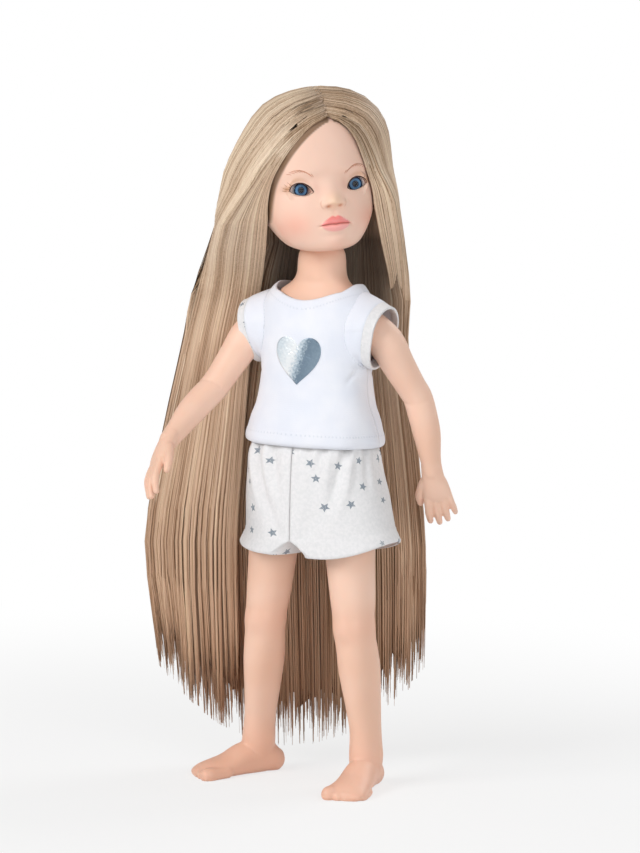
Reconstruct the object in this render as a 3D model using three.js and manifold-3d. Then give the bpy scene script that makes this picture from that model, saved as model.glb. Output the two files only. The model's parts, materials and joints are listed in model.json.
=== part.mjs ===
// A jointed vinyl play doll, 32 cm tall, standing barefoot in knit nightwear with very long rooted hair.
// Millimetres, +Z up. The body is modelled with its chest facing -Y and its left side at +X, standing on
// Z = 0, and the finished group is moved so that its origin lies under the middle of its box.
import * as THREE from "three";
import { mergeVertices } from "three/addons/utils/BufferGeometryUtils.js";
import Module from "manifold-3d";

const wasm = await Module();
wasm.setup();

// Joint posture, in degrees, as the doll stands.
const headTurn = 44.5;
const headRoll = 7.3;
const headPitch = 3.4;
const leftArmSwing = 31;
const rightArmSwing = -35;
const leftToeOut = 10;
const rightToeOut = 25;

// Vinyl shells, and a reach that passes right out of the body.
const farPast = 60;
const bodyWall = 1.8;
const headWall = 2.4;
const limbWall = 1.8;
const jointGap = 0.35;
const pieceGap = 0.3;

// Torso, by height above the soles.
const crotchHeight = 117;
const hipHeight = 130;
const hemHeight = 157;
const waistHeight = 181;
const chestHeight = 205;
const shoulderHeight = 217;
const neckBaseHeight = 233;
const neckPivotHeight = 240;
const hipHalfWidth = 27;
const hipHalfDepth = 17.5;
const waistHalfWidth = 23.8;
const waistHalfDepth = 15;
const chestHalfWidth = 24.6;
const chestHalfDepth = 14.7;
const neckRadius = 10.6;
const neckBack = 4;
const torsoBack = 1;

// Neck joint: a ball top, a stem and a snap-in knob.
const neckBallRadius = 11;
const stemRadius = 5.6;
const knobRadius = 9;
const knobHeight = 2.4;
const headOpeningRadius = 8;

// Head, measured from the neck pivot.
const headHeight = 76.6;
const headHalfWidth = 28.8;
const faceDepth = 30.2;
const occiputDepth = 34.2;
const chinHeight = 4.2;
const noseHeight = 27.6;
const noseLift = 4.6;
const mouthHeight = 18.4;
const eyeHeight = 35.2;
const eyeSpread = 12.6;
const earHeight = 27;
const earSize = [2.6, 3.6, 6.4];

// Glassy inset eyes.
const eyeBallRadius = 7.2;
const eyeDepth = 18.4;
const eyeFlat = 5.9;
const eyeWidth = 11;
const eyeOpening = 6.2;
const irisRadius = 3.5;
const irisThickness = 0.35;
const lensRadius = 3.9;
const lensCrown = 1.3;

// Shoulder joints.
const shoulderSpread = 28;
const shoulderBack = 1;
const shoulderPivotHeight = 211;
const shoulderTilt = 12;
const shoulderSeat = 6.2;
const armStubRadius = 3.9;
const armFlangeRadius = 5;
const flangeThickness = 1.3;
const armReach = 15;

// Arm, hanging, measured from the shoulder pivot: sideways, back and down.
const elbow = [14.7, 0, -37];
const wrist = [19, -9.7, -70.5];
const shoulderBow = 2.6;
const upperArmBow = 1.6;
const forearmBow = 1;
const shoulderRound = 1;
const armRoot = 3;
const upperArmRadius = 7.7;
const elbowRadius = 6.8;
const forearmRadius = 6.5;
const wristRadius = 4.9;
const palmLength = 14;
const palmHalfBreadth = 6.4;
const palmHalfThickness = 3.1;
const fingerRadius = 1.85;
const fingerLength = 15.5;
const thumbRadius = 2.3;
const thumbLength = 14;

// Hip joints.
const hipSpread = 12.4;
const hipPivotHeight = 128.5;
const hipTilt = 35;
const legStubRadius = 6.2;
const legFlangeRadius = 7.8;

// Leg, standing.
const thighSpread = 20.6;
const thighHeight = 104;
const kneeHeight = 73;
const calfHeight = 54;
const ankleHeight = 20;
const ankleSpread = 28.8;
const ankleBack = 4;
const legTopHeight = 152.5;
const legTopSpread = 14;
const legBowl = 9;
const thighHalfWidth = 10.8;
const thighHalfDepth = 12;
const kneeHalfWidth = 9.2;
const kneeHalfDepth = 11;
const calfHalfWidth = 8.5;
const calfHalfDepth = 12;
const ankleHalfWidth = 6.8;
const ankleHalfDepth = 9.6;

// Foot.
const footLength = 47;
const heelLength = 12;
const footHalfWidth = 9.2;
const toeRadius = 3.1;
const soleFlat = 1.5;

// Knit top.
const knitThickness = 1.1;
const topEase = 2.8;
const topHemHalfWidth = 33;
const topHemHalfDepth = 23;
const necklineHalfWidth = 21.5;
const necklineFront = 222.5;
const necklineBack = 227;
const cuffWidth = 7.5;
const cuffThickness = 1.2;
const closureWidth = 7;
const closureEnds = 4;
const tapeThickness = 0.45;

// Gathered shorts; the cloth hangs fuller on the doll's left.
const shortsTopHeight = 166;
const shortsHemHeight = 107;
const shortsGatherHeight = 158;
const shortsFlatHeight = 152;
const shortsHipHeight = 133;
const shortsLegGap = 10;
const shortsInseamGap = 2.4;
const shortsCrotchHeight = 113.5;
const shortsWaistHalfWidth = 29.6;
const shortsWaistHalfDepth = 19.8;
const shortsHipHalfWidth = 35.5;
const shortsHipHalfDepth = 21.6;
const shortsHemHalfWidth = 39;
const shortsHemHalfDepth = 21;
const shortsSkew = 4;
const gatherDepth = 1;
const gatherCount = 10;
const clothThickness = 1;
const elasticHeight = 5;
const elasticThickness = 0.7;

// Foil print on the chest: a plain heart.
const printWidth = 23;
const printThickness = 0.25;
const printHeight = 196;

// Rooted hair, falling behind the shoulders to the ankles, seen square on from its own side.
const hairViewTurn = 30;
const hairRootEdge = 18;
const hairlineTop = 64;
const hairlineHalfWidth = 23.5;
const crownThickness = 4.4;
const hairRightBulge = 20.4;
const hairLeftBulge = 9.4;
const hairEndAngle = 58;
const hairGap = 0.5;
const scalpGap = 1.5;
const lockDepth = 0.8;
const tipHeight = 24;
const tipRise = 40;

const radians = Math.PI / 180;
const V = (x, y, z) => new THREE.Vector3(x, y, z);
const root = new THREE.Group();

// Materials by finish.
const finish = (color, roughness, metalness = 0) =>
  new THREE.MeshStandardMaterial({ color, roughness, metalness });
const skinFinish = () => finish(0xf3c9b0, 0.55);
const hairFinish = () => finish(0xb08d6c, 0.45);
const knitFinish = () => finish(0xeceff6, 0.95);
const starClothFinish = () => finish(0xf0f1f3, 0.9);

// A closed skin over rings of equal length, each end closed by a fan about its middle.
function skinRings(rings) {
  const sides = rings[0].length;
  const points = rings.flat();
  const index = [];
  for (let i = 0; i + 1 < rings.length; i++) {
    for (let j = 0; j < sides; j++) {
      const k = (j + 1) % sides;
      const a = i * sides + j;
      const b = i * sides + k;
      index.push(a, b, b + sides, a, b + sides, a + sides);
    }
  }
  const middle = (ring) => ring.reduce((sum, p) => sum.add(p), V(0, 0, 0)).divideScalar(sides);
  const first = points.push(middle(rings[0])) - 1;
  const last = points.push(middle(rings.at(-1))) - 1;
  const end = (rings.length - 1) * sides;
  for (let j = 0; j < sides; j++) {
    const k = (j + 1) % sides;
    index.push(first, k, j, last, end + j, end + k);
  }
  return faceOut(points, index);
}

// Turns the triangles round where they enclose a negative volume.
function faceOut(points, index) {
  let volume = 0;
  const n = V(0, 0, 0);
  for (let i = 0; i < index.length; i += 3) {
    n.crossVectors(points[index[i + 1]], points[index[i + 2]]);
    volume += points[index[i]].dot(n);
  }
  const facing = volume < 0 ? index.slice().reverse() : index;
  const geometry = new THREE.BufferGeometry().setFromPoints(points);
  geometry.setIndex(facing);
  return geometry;
}

// A closed three.js geometry as a manifold solid.
function solid(geometry) {
  const bare = geometry.clone();
  bare.deleteAttribute("normal");
  bare.deleteAttribute("uv");
  const merged = mergeVertices(bare, 1e-4);
  return new wasm.Manifold(
    new wasm.Mesh({
      numProp: 3,
      vertProperties: merged.getAttribute("position").array,
      triVerts: new Uint32Array(merged.index.array),
    }),
  );
}

// A manifold solid as a three.js geometry.
function geometryOf(made) {
  const mesh = made.getMesh();
  const count = mesh.numProp;
  const places = new Float32Array(mesh.numVert * 3);
  for (let i = 0; i < mesh.numVert; i++) {
    places.set(mesh.vertProperties.subarray(i * count, i * count + 3), i * 3);
  }
  const geometry = new THREE.BufferGeometry();
  geometry.setAttribute("position", new THREE.BufferAttribute(places, 3));
  geometry.setIndex(new THREE.BufferAttribute(mesh.triVerts, 1));
  geometry.computeVertexNormals();
  return geometry;
}

const union = (...parts) => parts.reduce((sum, part) => sum.add(part));

// A solid block between two corners.
function block(low, high) {
  const size = high.map((value, i) => value - low[i]);
  const middle = high.map((value, i) => (value + low[i]) / 2);
  return solid(new THREE.BoxGeometry(...size).translate(...middle));
}

// The half space on the far side of a plane, as a large block that starts at the plane.
function beyond(point, normal) {
  const reach = 1000;
  const slab = new THREE.BoxGeometry(reach, reach, reach).translate(0, 0, reach / 2);
  const turn = new THREE.Quaternion().setFromUnitVectors(V(0, 0, 1), normal);
  return solid(slab.applyQuaternion(turn).translate(point.x, point.y, point.z));
}

// A solid of revolution about an axis through a point; the profile holds radius and distance along it.
function turned(profile, point, axis, sides = 28) {
  const lathe = new THREE.LatheGeometry(
    profile.map(([radius, along]) => new THREE.Vector2(radius, along)),
    sides,
  );
  const turn = new THREE.Quaternion().setFromUnitVectors(V(0, 1, 0), axis);
  return closed(lathe.applyQuaternion(turn).translate(point.x, point.y, point.z));
}

// Any closed three.js surface as a solid, its seam and poles merged and its faces turned outwards.
function closed(geometry) {
  const bare = geometry.clone();
  bare.deleteAttribute("normal");
  bare.deleteAttribute("uv");
  const merged = mergeVertices(bare, 1e-4);
  const place = merged.getAttribute("position");
  const points = [];
  for (let i = 0; i < place.count; i++) points.push(V(0, 0, 0).fromBufferAttribute(place, i));
  const index = [];
  const old = merged.index.array;
  for (let i = 0; i < old.length; i += 3) {
    const [a, b, c] = [old[i], old[i + 1], old[i + 2]];
    if (a !== b && b !== c && a !== c) index.push(a, b, c);
  }
  return solid(faceOut(points, index));
}

// A smooth curve through rows of numbers, read at any share of its length in rows.
function through(rows) {
  return (share) => {
    const at = Math.min(Math.max(share, 0), 1) * (rows.length - 1);
    const i = Math.min(Math.floor(at), rows.length - 2);
    const t = at - i;
    const row = (k) => rows[Math.min(Math.max(k, 0), rows.length - 1)];
    return rows[0].map((_, c) => {
      const [p0, p1, p2, p3] = [row(i - 1)[c], row(i)[c], row(i + 1)[c], row(i + 2)[c]];
      const bend = 2 * p0 - 5 * p1 + 4 * p2 - p3;
      const twist = 3 * p1 - p0 - 3 * p2 + p3;
      return 0.5 * (2 * p1 + (p2 - p0) * t + bend * t * t + twist * t * t * t);
    });
  };
}

// One level outline: a superellipse with its own front and back depth.
function outline(halfWidth, front, back, sides, power = 2.3) {
  const ring = [];
  for (let j = 0; j < sides; j++) {
    const angle = (2 * Math.PI * j) / sides;
    const c = Math.cos(angle);
    const s = Math.sin(angle);
    const round = (v) => Math.sign(v) * Math.abs(v) ** (2 / power);
    const depth = c > 0 ? front : back;
    ring.push([halfWidth * round(s), -depth * round(c), angle]);
  }
  return ring;
}

// A body of level sections: rows of height, half width, half depth and middle in Y, all grown by a step.
function levels(rows, steps, sides, grow = 0, fold = () => 0) {
  const read = through(rows);
  const rings = [];
  for (let i = 0; i <= steps; i++) {
    const [height, halfWidth, halfDepth, middle] = read(i / steps);
    const ring = outline(halfWidth + grow, halfDepth + grow, halfDepth + grow, sides);
    rings.push(
      ring.map(([x, y, angle]) => {
        const swell = 1 + fold(angle, height) / Math.hypot(x, y);
        return V(x * swell, middle + y * swell, height);
      }),
    );
  }
  return rings;
}

// A limb: sections carried along a smooth path, with a broad axis that stays near a chosen side.
// Stations hold a point, a half breadth across and a half depth; each end may be domed.
function limb(stations, side, { steps, sides, grow = 0, domed = true }) {
  const read = through(stations.map(([p, w, d]) => [p.x, p.y, p.z, w, d]));
  const place = (share) => {
    const [x, y, z] = read(share);
    return V(x, y, z);
  };
  const rings = [];
  const ringAt = (share, shrink, push) => {
    const ahead = place(Math.min(share + 0.01, 1));
    const along = ahead.sub(place(Math.max(share - 0.01, 0))).normalize();
    const depthAxis = V(0, 0, 0).crossVectors(along, side).normalize();
    const widthAxis = V(0, 0, 0).crossVectors(depthAxis, along).normalize();
    const [x, y, z, w, d] = read(share);
    const middle = V(x, y, z).addScaledVector(along, push * (Math.min(w, d) + grow));
    const ring = [];
    for (let j = 0; j < sides; j++) {
      const angle = (2 * Math.PI * j) / sides;
      const point = middle.clone();
      point.addScaledVector(widthAxis, (w + grow) * shrink * Math.cos(angle));
      point.addScaledVector(depthAxis, (d + grow) * shrink * Math.sin(angle));
      ring.push(point);
    }
    rings.push(ring);
  };
  for (let i = 0; i <= steps; i++) ringAt(i / steps, 1, 0);
  if (domed) {
    const turns = sides > 9 ? [35, 65] : [50];
    for (const turn of turns) ringAt(1, Math.cos(turn * radians), Math.sin(turn * radians));
  }
  return solid(skinRings(rings));
}

// Puts a solid into the group as a named piece.
function piece(name, made, material, parent = root) {
  const mesh = new THREE.Mesh(geometryOf(made), material);
  mesh.name = name;
  parent.add(mesh);
  return mesh;
}

const tilted = (side, tilt) => V(side * Math.cos(tilt * radians), 0, -Math.sin(tilt * radians));
const shoulderAxis = (side) => tilted(side, shoulderTilt);
const hipAxis = (side) => tilted(side, hipTilt);
const shoulderPivot = (side) => V(side * shoulderSpread, shoulderBack, shoulderPivotHeight);
const hipPivot = (side) => V(side * hipSpread, torsoBack, hipPivotHeight);
const shoulderFace = (side) =>
  shoulderPivot(side).addScaledVector(shoulderAxis(side), -shoulderSeat);

// Torso: a hollow shell cut flat at each shoulder and hip, with a hole for each limb's stub.
const torsoRows = [
  [crotchHeight - 3, 5, 8, torsoBack],
  [crotchHeight, 12, 12, torsoBack],
  [crotchHeight + 6, 23, 16, torsoBack],
  [hipHeight, hipHalfWidth, hipHalfDepth, torsoBack],
  [hipHeight + 15, hipHalfWidth, hipHalfDepth, torsoBack],
  [hemHeight + 3, hipHalfWidth - 1, hipHalfDepth - 0.8, torsoBack],
  [waistHeight - 8, waistHalfWidth + 0.6, waistHalfDepth + 0.5, torsoBack],
  [waistHeight + 5, waistHalfWidth, waistHalfDepth, torsoBack],
  [chestHeight - 7, chestHalfWidth - 0.5, chestHalfDepth, torsoBack],
  [chestHeight + 4, chestHalfWidth, chestHalfDepth - 0.3, torsoBack],
  [shoulderHeight + 2, chestHalfWidth - 0.6, chestHalfDepth - 1.6, torsoBack + 0.8],
  [shoulderHeight + 8.5, chestHalfWidth - 4.5, chestHalfDepth - 3.6, torsoBack + 1.8],
  [neckBaseHeight - 3, neckRadius + 3.4, neckRadius - 0.6, neckBack - 0.4],
  [neckBaseHeight + 1, neckRadius + 0.6, neckRadius, neckBack],
  [neckPivotHeight, neckRadius, neckRadius, neckBack],
];

function torso() {
  const outer = solid(skinRings(levels(torsoRows, 16, 22)));
  const inner = solid(skinRings(levels(torsoRows.slice(1, -2), 9, 16, -bodyWall)));
  let body = outer;
  let hollow = inner.subtract(beyond(V(0, 0, neckBaseHeight - 6), V(0, 0, 1)));
  for (const side of [1, -1]) {
    const shoulder = shoulderFace(side).addScaledVector(shoulderAxis(side), -jointGap);
    const hip = hipPivot(side).addScaledVector(hipAxis(side), -jointGap);
    const shoulderInside = shoulder.clone().addScaledVector(shoulderAxis(side), -bodyWall);
    const hipInside = hip.clone().addScaledVector(hipAxis(side), -bodyWall);
    const nearArm = block(
      [side > 0 ? neckRadius : -farPast, -farPast, chestHeight - armReach],
      [side > 0 ? farPast : -neckRadius, farPast, neckPivotHeight],
    );
    body = body.subtract(beyond(shoulder, shoulderAxis(side)).intersect(nearArm));
    body = body.subtract(beyond(hip, hipAxis(side)));
    hollow = hollow.subtract(beyond(shoulderInside, shoulderAxis(side)).intersect(nearArm));
    hollow = hollow.subtract(beyond(hipInside, hipAxis(side)));
  }
  body = body.subtract(hollow);
  for (const side of [1, -1]) {
    const armHole = armStubRadius + pieceGap;
    const legHole = legStubRadius + pieceGap;
    const through = shoulderSeat;
    const rod = (radius) => [[0, -through], [radius, -through], [radius, through], [0, through]];
    body = body.subtract(turned(rod(armHole), shoulderFace(side), shoulderAxis(side), 14));
    body = body.subtract(turned(rod(legHole), hipPivot(side), hipAxis(side), 14));
  }
  return union(body, neckKnob());
}

// The neck's ball top, stem and snap-in knob, round about the turning axis.
function neckKnob() {
  const start = -8;
  const profile = [[0, start], [neckRadius, start], [neckRadius, 0]];
  const last = Math.acos(stemRadius / neckBallRadius) / radians;
  for (let i = 1; i <= 5; i++) {
    const turn = 15 + ((last - 15) * i) / 5;
    profile.push([neckBallRadius * Math.cos(turn * radians), neckBallRadius * Math.sin(turn * radians)]);
  }
  const stemTop = neckBallRadius + headWall + 1;
  profile.push([stemRadius, stemTop], [knobRadius, stemTop + 0.4], [knobRadius - 0.5, stemTop + knobHeight]);
  profile.push([knobRadius - 4, stemTop + knobHeight + 1.6], [0, stemTop + knobHeight + 2]);
  return turned(profile, V(0, neckBack, neckPivotHeight), V(0, 0, 1), 16);
}

// Head form, measured from the neck pivot: rows of front height, back height, half width, front and back.
const headRows = [
  [6, 8, 2, 2, 2],
  [chinHeight + 1.4, 9.5, 10, 11, 10],
  [chinHeight, 11.5, 15, 20, 16],
  [chinHeight + 0.6, 14, 18, 26, 21],
  [chinHeight + 3.6, 17.5, 20.8, faceDepth - 1.4, 25],
  [12.5, 21.5, 23.3, faceDepth - 0.2, 28.5],
  [18.5, 26, 25.3, faceDepth, 31],
  [noseHeight, 31, 26.9, faceDepth, 33],
  [eyeHeight + 0.3, 37, headHalfWidth - 0.8, faceDepth - 1.5, occiputDepth - 0.2],
  [43.5, 44.5, headHalfWidth, faceDepth - 0.4, occiputDepth],
  [53, 53, headHalfWidth - 0.5, faceDepth - 1.2, occiputDepth - 1.7],
  [headHeight - 14, headHeight - 14, headHalfWidth - 3.8, faceDepth - 4.9, occiputDepth - 5.7],
  [headHeight - 6, headHeight - 6, headHalfWidth - 10.8, faceDepth - 11.9, occiputDepth - 14.2],
  [headHeight - 1.3, headHeight - 1.3, headHalfWidth - 19.8, faceDepth - 21.2, occiputDepth - 24.2],
  [headHeight, headHeight, 1, 1, 1],
];

// How far the face stands out in front at a place across and up it.
function faceRelief(x, z) {
  const hill = (cx, cz, wide, tall) => Math.exp(-(((x - cx) / wide) ** 2) - ((z - cz) / tall) ** 2);
  const pair = (cx, cz, wide, tall) => hill(cx, cz, wide, tall) + hill(-cx, cz, wide, tall);
  return (
    noseLift * hill(0, noseHeight, 2.9, 3) +
    1.3 * hill(0, noseHeight + 7, 2.2, 6) +
    1.4 * hill(0, mouthHeight + 1, 6, 3.4) +
    1.1 * pair(13.5, 19, 6, 6) +
    1.6 * hill(0, chinHeight + 4.5, 6, 4.5) -
    1.5 * pair(eyeSpread, eyeHeight, 5.5, 3.8)
  );
}

// How much of its forward lean the hair keeps in front of the ears, where it hangs straight down.
const frontShare = 0.25;

// A point of the head at a share of its rows and an angle from its front. Grow moves it straight out of
// the form and swell moves it sideways, level with itself over the lower half.
function headPoint(share, angle, { grow = 0, swell = () => 0, relief = 1 } = {}) {
  const [zFront, zBack, halfWidth, front, back] = through(headRows)(share);
  const c = Math.cos(angle);
  const s = Math.sin(angle);
  const round = (v) => Math.sign(v) * Math.abs(v) ** (2 / 2.15);
  const x = halfWidth * round(s);
  let y = -(c > 0 ? front : back) * round(c);
  const z = zBack + ((zFront - zBack) * (1 + c)) / 2;
  if (c > 0) y -= relief * faceRelief(x, z) * Math.min(1, c * 2);
  const middle = V(0, 0, headHeight / 2);
  const out = V(x, y, z).sub(middle);
  const aside = V(out.x, c > 0 ? out.y * frontShare : out.y, Math.max(0, out.z)).setLength(swell(angle, z));
  return middle.add(out.setLength(out.length() + grow)).add(aside);
}

function headRings(steps, sides, form) {
  const rings = [];
  for (let i = 0; i <= steps; i++) {
    const ring = [];
    for (let j = 0; j < sides; j++) {
      const even = (2 * Math.PI * j) / sides;
      ring.push(headPoint(i / steps, even - 0.35 * Math.sin(even), form));
    }
    rings.push(ring);
  }
  return rings;
}

const headMatrix = new THREE.Matrix4()
  .makeTranslation(0, neckBack, neckPivotHeight)
  .multiply(new THREE.Matrix4().makeRotationZ(headTurn * radians))
  .multiply(new THREE.Matrix4().makeRotationY(-headRoll * radians))
  .multiply(new THREE.Matrix4().makeRotationX(-headPitch * radians));

function ball(radius, point, wide = 20, high = 14, stretch = V(1, 1, 1)) {
  const sphere = new THREE.SphereGeometry(radius, wide, high);
  sphere.scale(stretch.x, stretch.y, stretch.z);
  return closed(sphere.translate(point.x, point.y, point.z));
}

const earCentre = (side) => V(side * (headHalfWidth - 1.6), neckBack / 2, earHeight);
const eyeCentre = (side) => V(side * eyeSpread, -eyeDepth, eyeHeight);
const lensBase = eyeFlat + irisThickness + 2 * 0.05;

// The clear dome over the iris, grown to cut its seat in the head.
function lensDome(side, grow = 0) {
  const profile = [[0, lensBase - grow]];
  for (let i = 0; i <= 3; i++) {
    const turn = (i * Math.PI) / 6;
    profile.push([(lensRadius + grow) * Math.cos(turn), lensBase + (lensCrown + grow) * Math.sin(turn)]);
  }
  profile[profile.length - 1][0] = 0;
  return turned([[0, lensBase - grow], [lensRadius + grow, lensBase - grow], ...profile.slice(1)],
    eyeCentre(side), V(0, -1, 0), 14);
}

function head() {
  let shell = solid(skinRings(headRings(22, 30)));
  for (const side of [1, -1]) {
    shell = shell.add(ball(1, earCentre(side), 12, 8, V(...earSize)));
  }
  const hollow = solid(skinRings(headRings(9, 14, { grow: -headWall, relief: 0 })));
  const seat = ball(neckBallRadius + jointGap, V(0, 0, 0), 18, 14);
  const floor = ball(neckBallRadius + jointGap + headWall, V(0, 0, 0), 14, 10);
  const mouthOfNeck = [[0, 0], [headOpeningRadius, 0], [headOpeningRadius, 20], [0, 20]];
  shell = shell.subtract(hollow.subtract(floor)).subtract(seat);
  shell = shell.subtract(turned(mouthOfNeck, V(0, 0, 0), V(0, 0, 1)));
  for (const side of [1, -1]) {
    const lid = new THREE.CylinderGeometry(1, 1, 20, 16);
    lid.scale(eyeWidth / 2, 1, eyeOpening / 2).translate(side * eyeSpread, -eyeDepth - 10, eyeHeight);
    shell = shell.subtract(closed(lid));
    shell = shell.subtract(ball(eyeBallRadius + pieceGap, eyeCentre(side), 14, 10));
    shell = shell.subtract(lensDome(side, pieceGap));
  }
  return shell;
}

// How far the hair stands off the skull: even on top, and fuller down both sides.
function crownSwell(angle, z) {
  const down = Math.max(0, (headHeight - z) / (headHeight - hairRootEdge)) ** 1.9;
  const right = Math.max(0, -Math.sin(angle)) ** 1.5;
  const left = Math.max(0, Math.sin(angle)) ** 1.5;
  const locks = (lockDepth * Math.sin(13 * angle)) / 2;
  return crownThickness + (hairRightBulge * right + hairLeftBulge * left) * down + locks;
}

const crownOuter = { swell: crownSwell, relief: 0 };
const crownInner = { grow: scalpGap };

// Hair on the scalp: a thick shell over the skull, open at the face.
function hairCrown() {
  const outer = solid(skinRings(headRings(14, 28, crownOuter)));
  const scalp = solid(skinRings(headRings(14, 20, crownInner)));
  const face = new THREE.Shape();
  face.moveTo(-hairlineHalfWidth, -farPast);
  face.lineTo(-hairlineHalfWidth, 24);
  face.bezierCurveTo(-hairlineHalfWidth + 3, 46, -13, 56, 0, hairlineTop);
  face.bezierCurveTo(13, 56, hairlineHalfWidth - 3, 46, hairlineHalfWidth, 24);
  face.lineTo(hairlineHalfWidth, -farPast);
  const opening = new THREE.ExtrudeGeometry(face, { depth: farPast, bevelEnabled: false, curveSegments: 6 });
  opening.rotateX(Math.PI / 2);
  const made = outer.subtract(scalp).subtract(closed(opening));
  const earSpace = V(...earSize.map((size) => size + hairGap));
  const ears = [1, -1].map((side) => ball(1, earCentre(side), 12, 8, earSpace));
  return made.subtract(union(...ears)).subtract(beyond(V(0, 0, hairRootEdge), V(0, 0, -1)));
}

// Where the hair crosses a level just under the crown, at an angle from the head's front.
function rimPoint(angle, form) {
  let low = 0.15;
  let high = 0.9;
  for (let i = 0; i < 24; i++) {
    const share = (low + high) / 2;
    if (headPoint(share, angle, form).z < hairRootEdge - hairGap) low = share;
    else high = share;
  }
  return headPoint(high, angle, form).applyMatrix4(headMatrix);
}

// The falling hair's outer face, level by level, in its own axes: height, across at its right and left
// ends, how far behind those ends and its middle lie, and its thickness.
const capeRows = [
  [244, -52.4, 40, 8, 4, 35.5, 7],
  [226, -57, 40.6, 26, 16, 34.5, 5.2],
  [200, -62, 41.4, 27, 20, 34.5, 4.6],
  [150, -72, 48, 27, 25, 35, 4.4],
  [105, -78, 53, 28, 27, 35.5, 4.2],
];
const capeTips = [0, -72, 54, 28, 28, 36, 3];
const intoHairAxes = new THREE.Matrix4().makeRotationZ(-hairViewTurn * radians);
const outOfHairAxes = new THREE.Matrix4().makeRotationZ(hairViewTurn * radians);

// One column of the falling hair, as its outer and inner points from the crown's rim to its tip.
function hairColumn(place) {
  const angle = Math.PI - place * (Math.PI - hairEndAngle * radians);
  const outer = [rimPoint(angle, crownOuter).applyMatrix4(intoHairAxes)];
  const inner = [rimPoint(angle, crownInner).applyMatrix4(intoHairAxes)];
  const tip = [...capeTips];
  tip[0] = tipHeight + tipRise * Math.abs(place) ** 2.2 + 3 * Math.sin(29 * place);
  for (const [height, right, left, endRight, endLeft, back, thickness] of [...capeRows, tip]) {
    const end = (at) => (at < 0 ? endRight : endLeft);
    const across = (at) => (right + left) / 2 + (at * (left - right)) / 2;
    const behind = (at) => end(at) + (back - end(at)) * (1 - Math.abs(at) ** 2.4);
    const [before, after] = [place - 0.01, place + 0.01];
    const inward = V(behind(after) - behind(before), across(before) - across(after), 0).normalize();
    const depth = thickness * (1 - 0.4 * place ** 4);
    const point = V(across(place), behind(place), height);
    inner.push(point.clone().addScaledVector(inward, depth));
    outer.push(point.addScaledVector(inward, -lockDepth * Math.sin(25 * place)));
  }
  return [outer, inner];
}

// One quarter of the falling hair between two places across it.
function hairFall(from, to) {
  const columns = 7;
  const steps = 11;
  const split = 0.0065;
  const paths = [];
  for (let j = 0; j <= columns; j++) {
    const place = from + split + ((to - from - 2 * split) * j) / columns;
    paths.push(hairColumn(place).map((side) => through(side.map((p) => p.toArray()))));
  }
  const rings = [];
  for (let i = 0; i <= steps; i++) {
    const share = (i / steps) ** 0.9;
    const outer = paths.map(([side]) => V(...side(share)));
    const inner = paths.map(([, side]) => V(...side(share))).reverse();
    rings.push([...outer, ...inner]);
  }
  return solid(skinRings(rings).applyMatrix4(outOfHairAxes));
}

// Arm: palm to the back, thumb forward, from a round stub with a snap-in flange.
const at = (values) => V(...values);
const handAxis = V(0.02, -0.14, -0.99).normalize();
const palmFacing = V(-0.55, 0.83, 0).projectOnPlane(handAxis).normalize();
const thumbSide = V(0, 0, 0).crossVectors(palmFacing, handAxis).normalize();

// A point of the hand: so far down from the wrist, towards the thumb and out of the palm.
function handPoint(down, toThumb, toPalm) {
  const point = at(wrist).addScaledVector(handAxis, down);
  return point.addScaledVector(thumbSide, toThumb).addScaledVector(palmFacing, toPalm);
}

function armStations() {
  const axis = shoulderAxis(1);
  const near = at(elbow).multiplyScalar(0.2).add(V(shoulderBow, 0, 0));
  const upper = at(elbow).multiplyScalar(0.5).add(V(upperArmBow, 0, 0));
  const lower = at(elbow).lerp(at(wrist), 0.5).add(V(forearmBow, 0, 0));
  const wide = upperArmRadius + shoulderRound;
  const inside = V(0, 0, 0).addScaledVector(axis, -shoulderSeat - armRoot);
  const outside = V(0, 0, 0).addScaledVector(axis, -shoulderSeat + 0.83 * armRoot);
  return [
    [inside, wide, wide * 1.02],
    [outside, wide, wide * 1.02],
    [near, wide * 0.954, wide],
    [upper, upperArmRadius * 0.975, upperArmRadius],
    [at(elbow), elbowRadius, elbowRadius],
    [lower, forearmRadius, forearmRadius],
    [at(wrist), wristRadius, wristRadius * 0.84],
  ];
}

function armForm(grow = 0, steps = 11, sides = 12) {
  return limb(armStations(), V(0, 1, 0), { steps, sides, grow });
}

function hand() {
  const palm = [
    [handPoint(palmLength * -0.21, 0, 0), wristRadius * 0.96, wristRadius * 0.8],
    [handPoint(palmLength * 0.35, 0, 0), palmHalfBreadth * 0.88, palmHalfThickness * 1.2],
    [handPoint(palmLength * 0.75, 0, palmHalfThickness * 0.1), palmHalfBreadth, palmHalfThickness],
    [handPoint(palmLength, 0, palmHalfThickness * 0.26), palmHalfBreadth * 0.9, palmHalfThickness * 0.77],
  ];
  const parts = [limb(palm, thumbSide, { steps: 3, sides: 10 })];
  const lengths = [0.9, 1, 0.93, 0.74];
  lengths.forEach((share, i) => {
    const across = palmHalfBreadth * (0.74 - 0.5 * i);
    const length = fingerLength * share;
    const radius = fingerRadius * (i === 3 ? 0.88 : 1);
    const root = -palmLength * 0.21;
    const finger = [
      [root, 1, 0.13, 1],
      [length * 0.3, 1.12, 0.32, 1],
      [length * 0.65, 1.2, 0.84, 0.95],
      [length * 0.92, 1.22, 1.6, 0.85],
    ].map(([down, fan, curl, thick]) => [
      handPoint(palmLength + down, across * fan, palmHalfThickness * curl),
      radius * thick,
      radius * thick,
    ]);
    parts.push(limb(finger, thumbSide, { steps: 3, sides: 6 }));
  });
  const thumb = [
    [0.21, 0.37, 0.13, 1],
    [0.54, 0.94, 0.45, 1],
    [0.91, 1.25, 0.84, 0.95],
    [1.21, 1.31, 1.29, 0.8],
  ].map(([down, across, curl, thick]) => [
    handPoint(thumbLength * down, palmHalfBreadth * across, palmHalfThickness * curl),
    thumbRadius * thick,
    thumbRadius * thick,
  ]);
  parts.push(limb(thumb, thumbSide, { steps: 3, sides: 6 }));
  return union(...parts);
}

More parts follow.
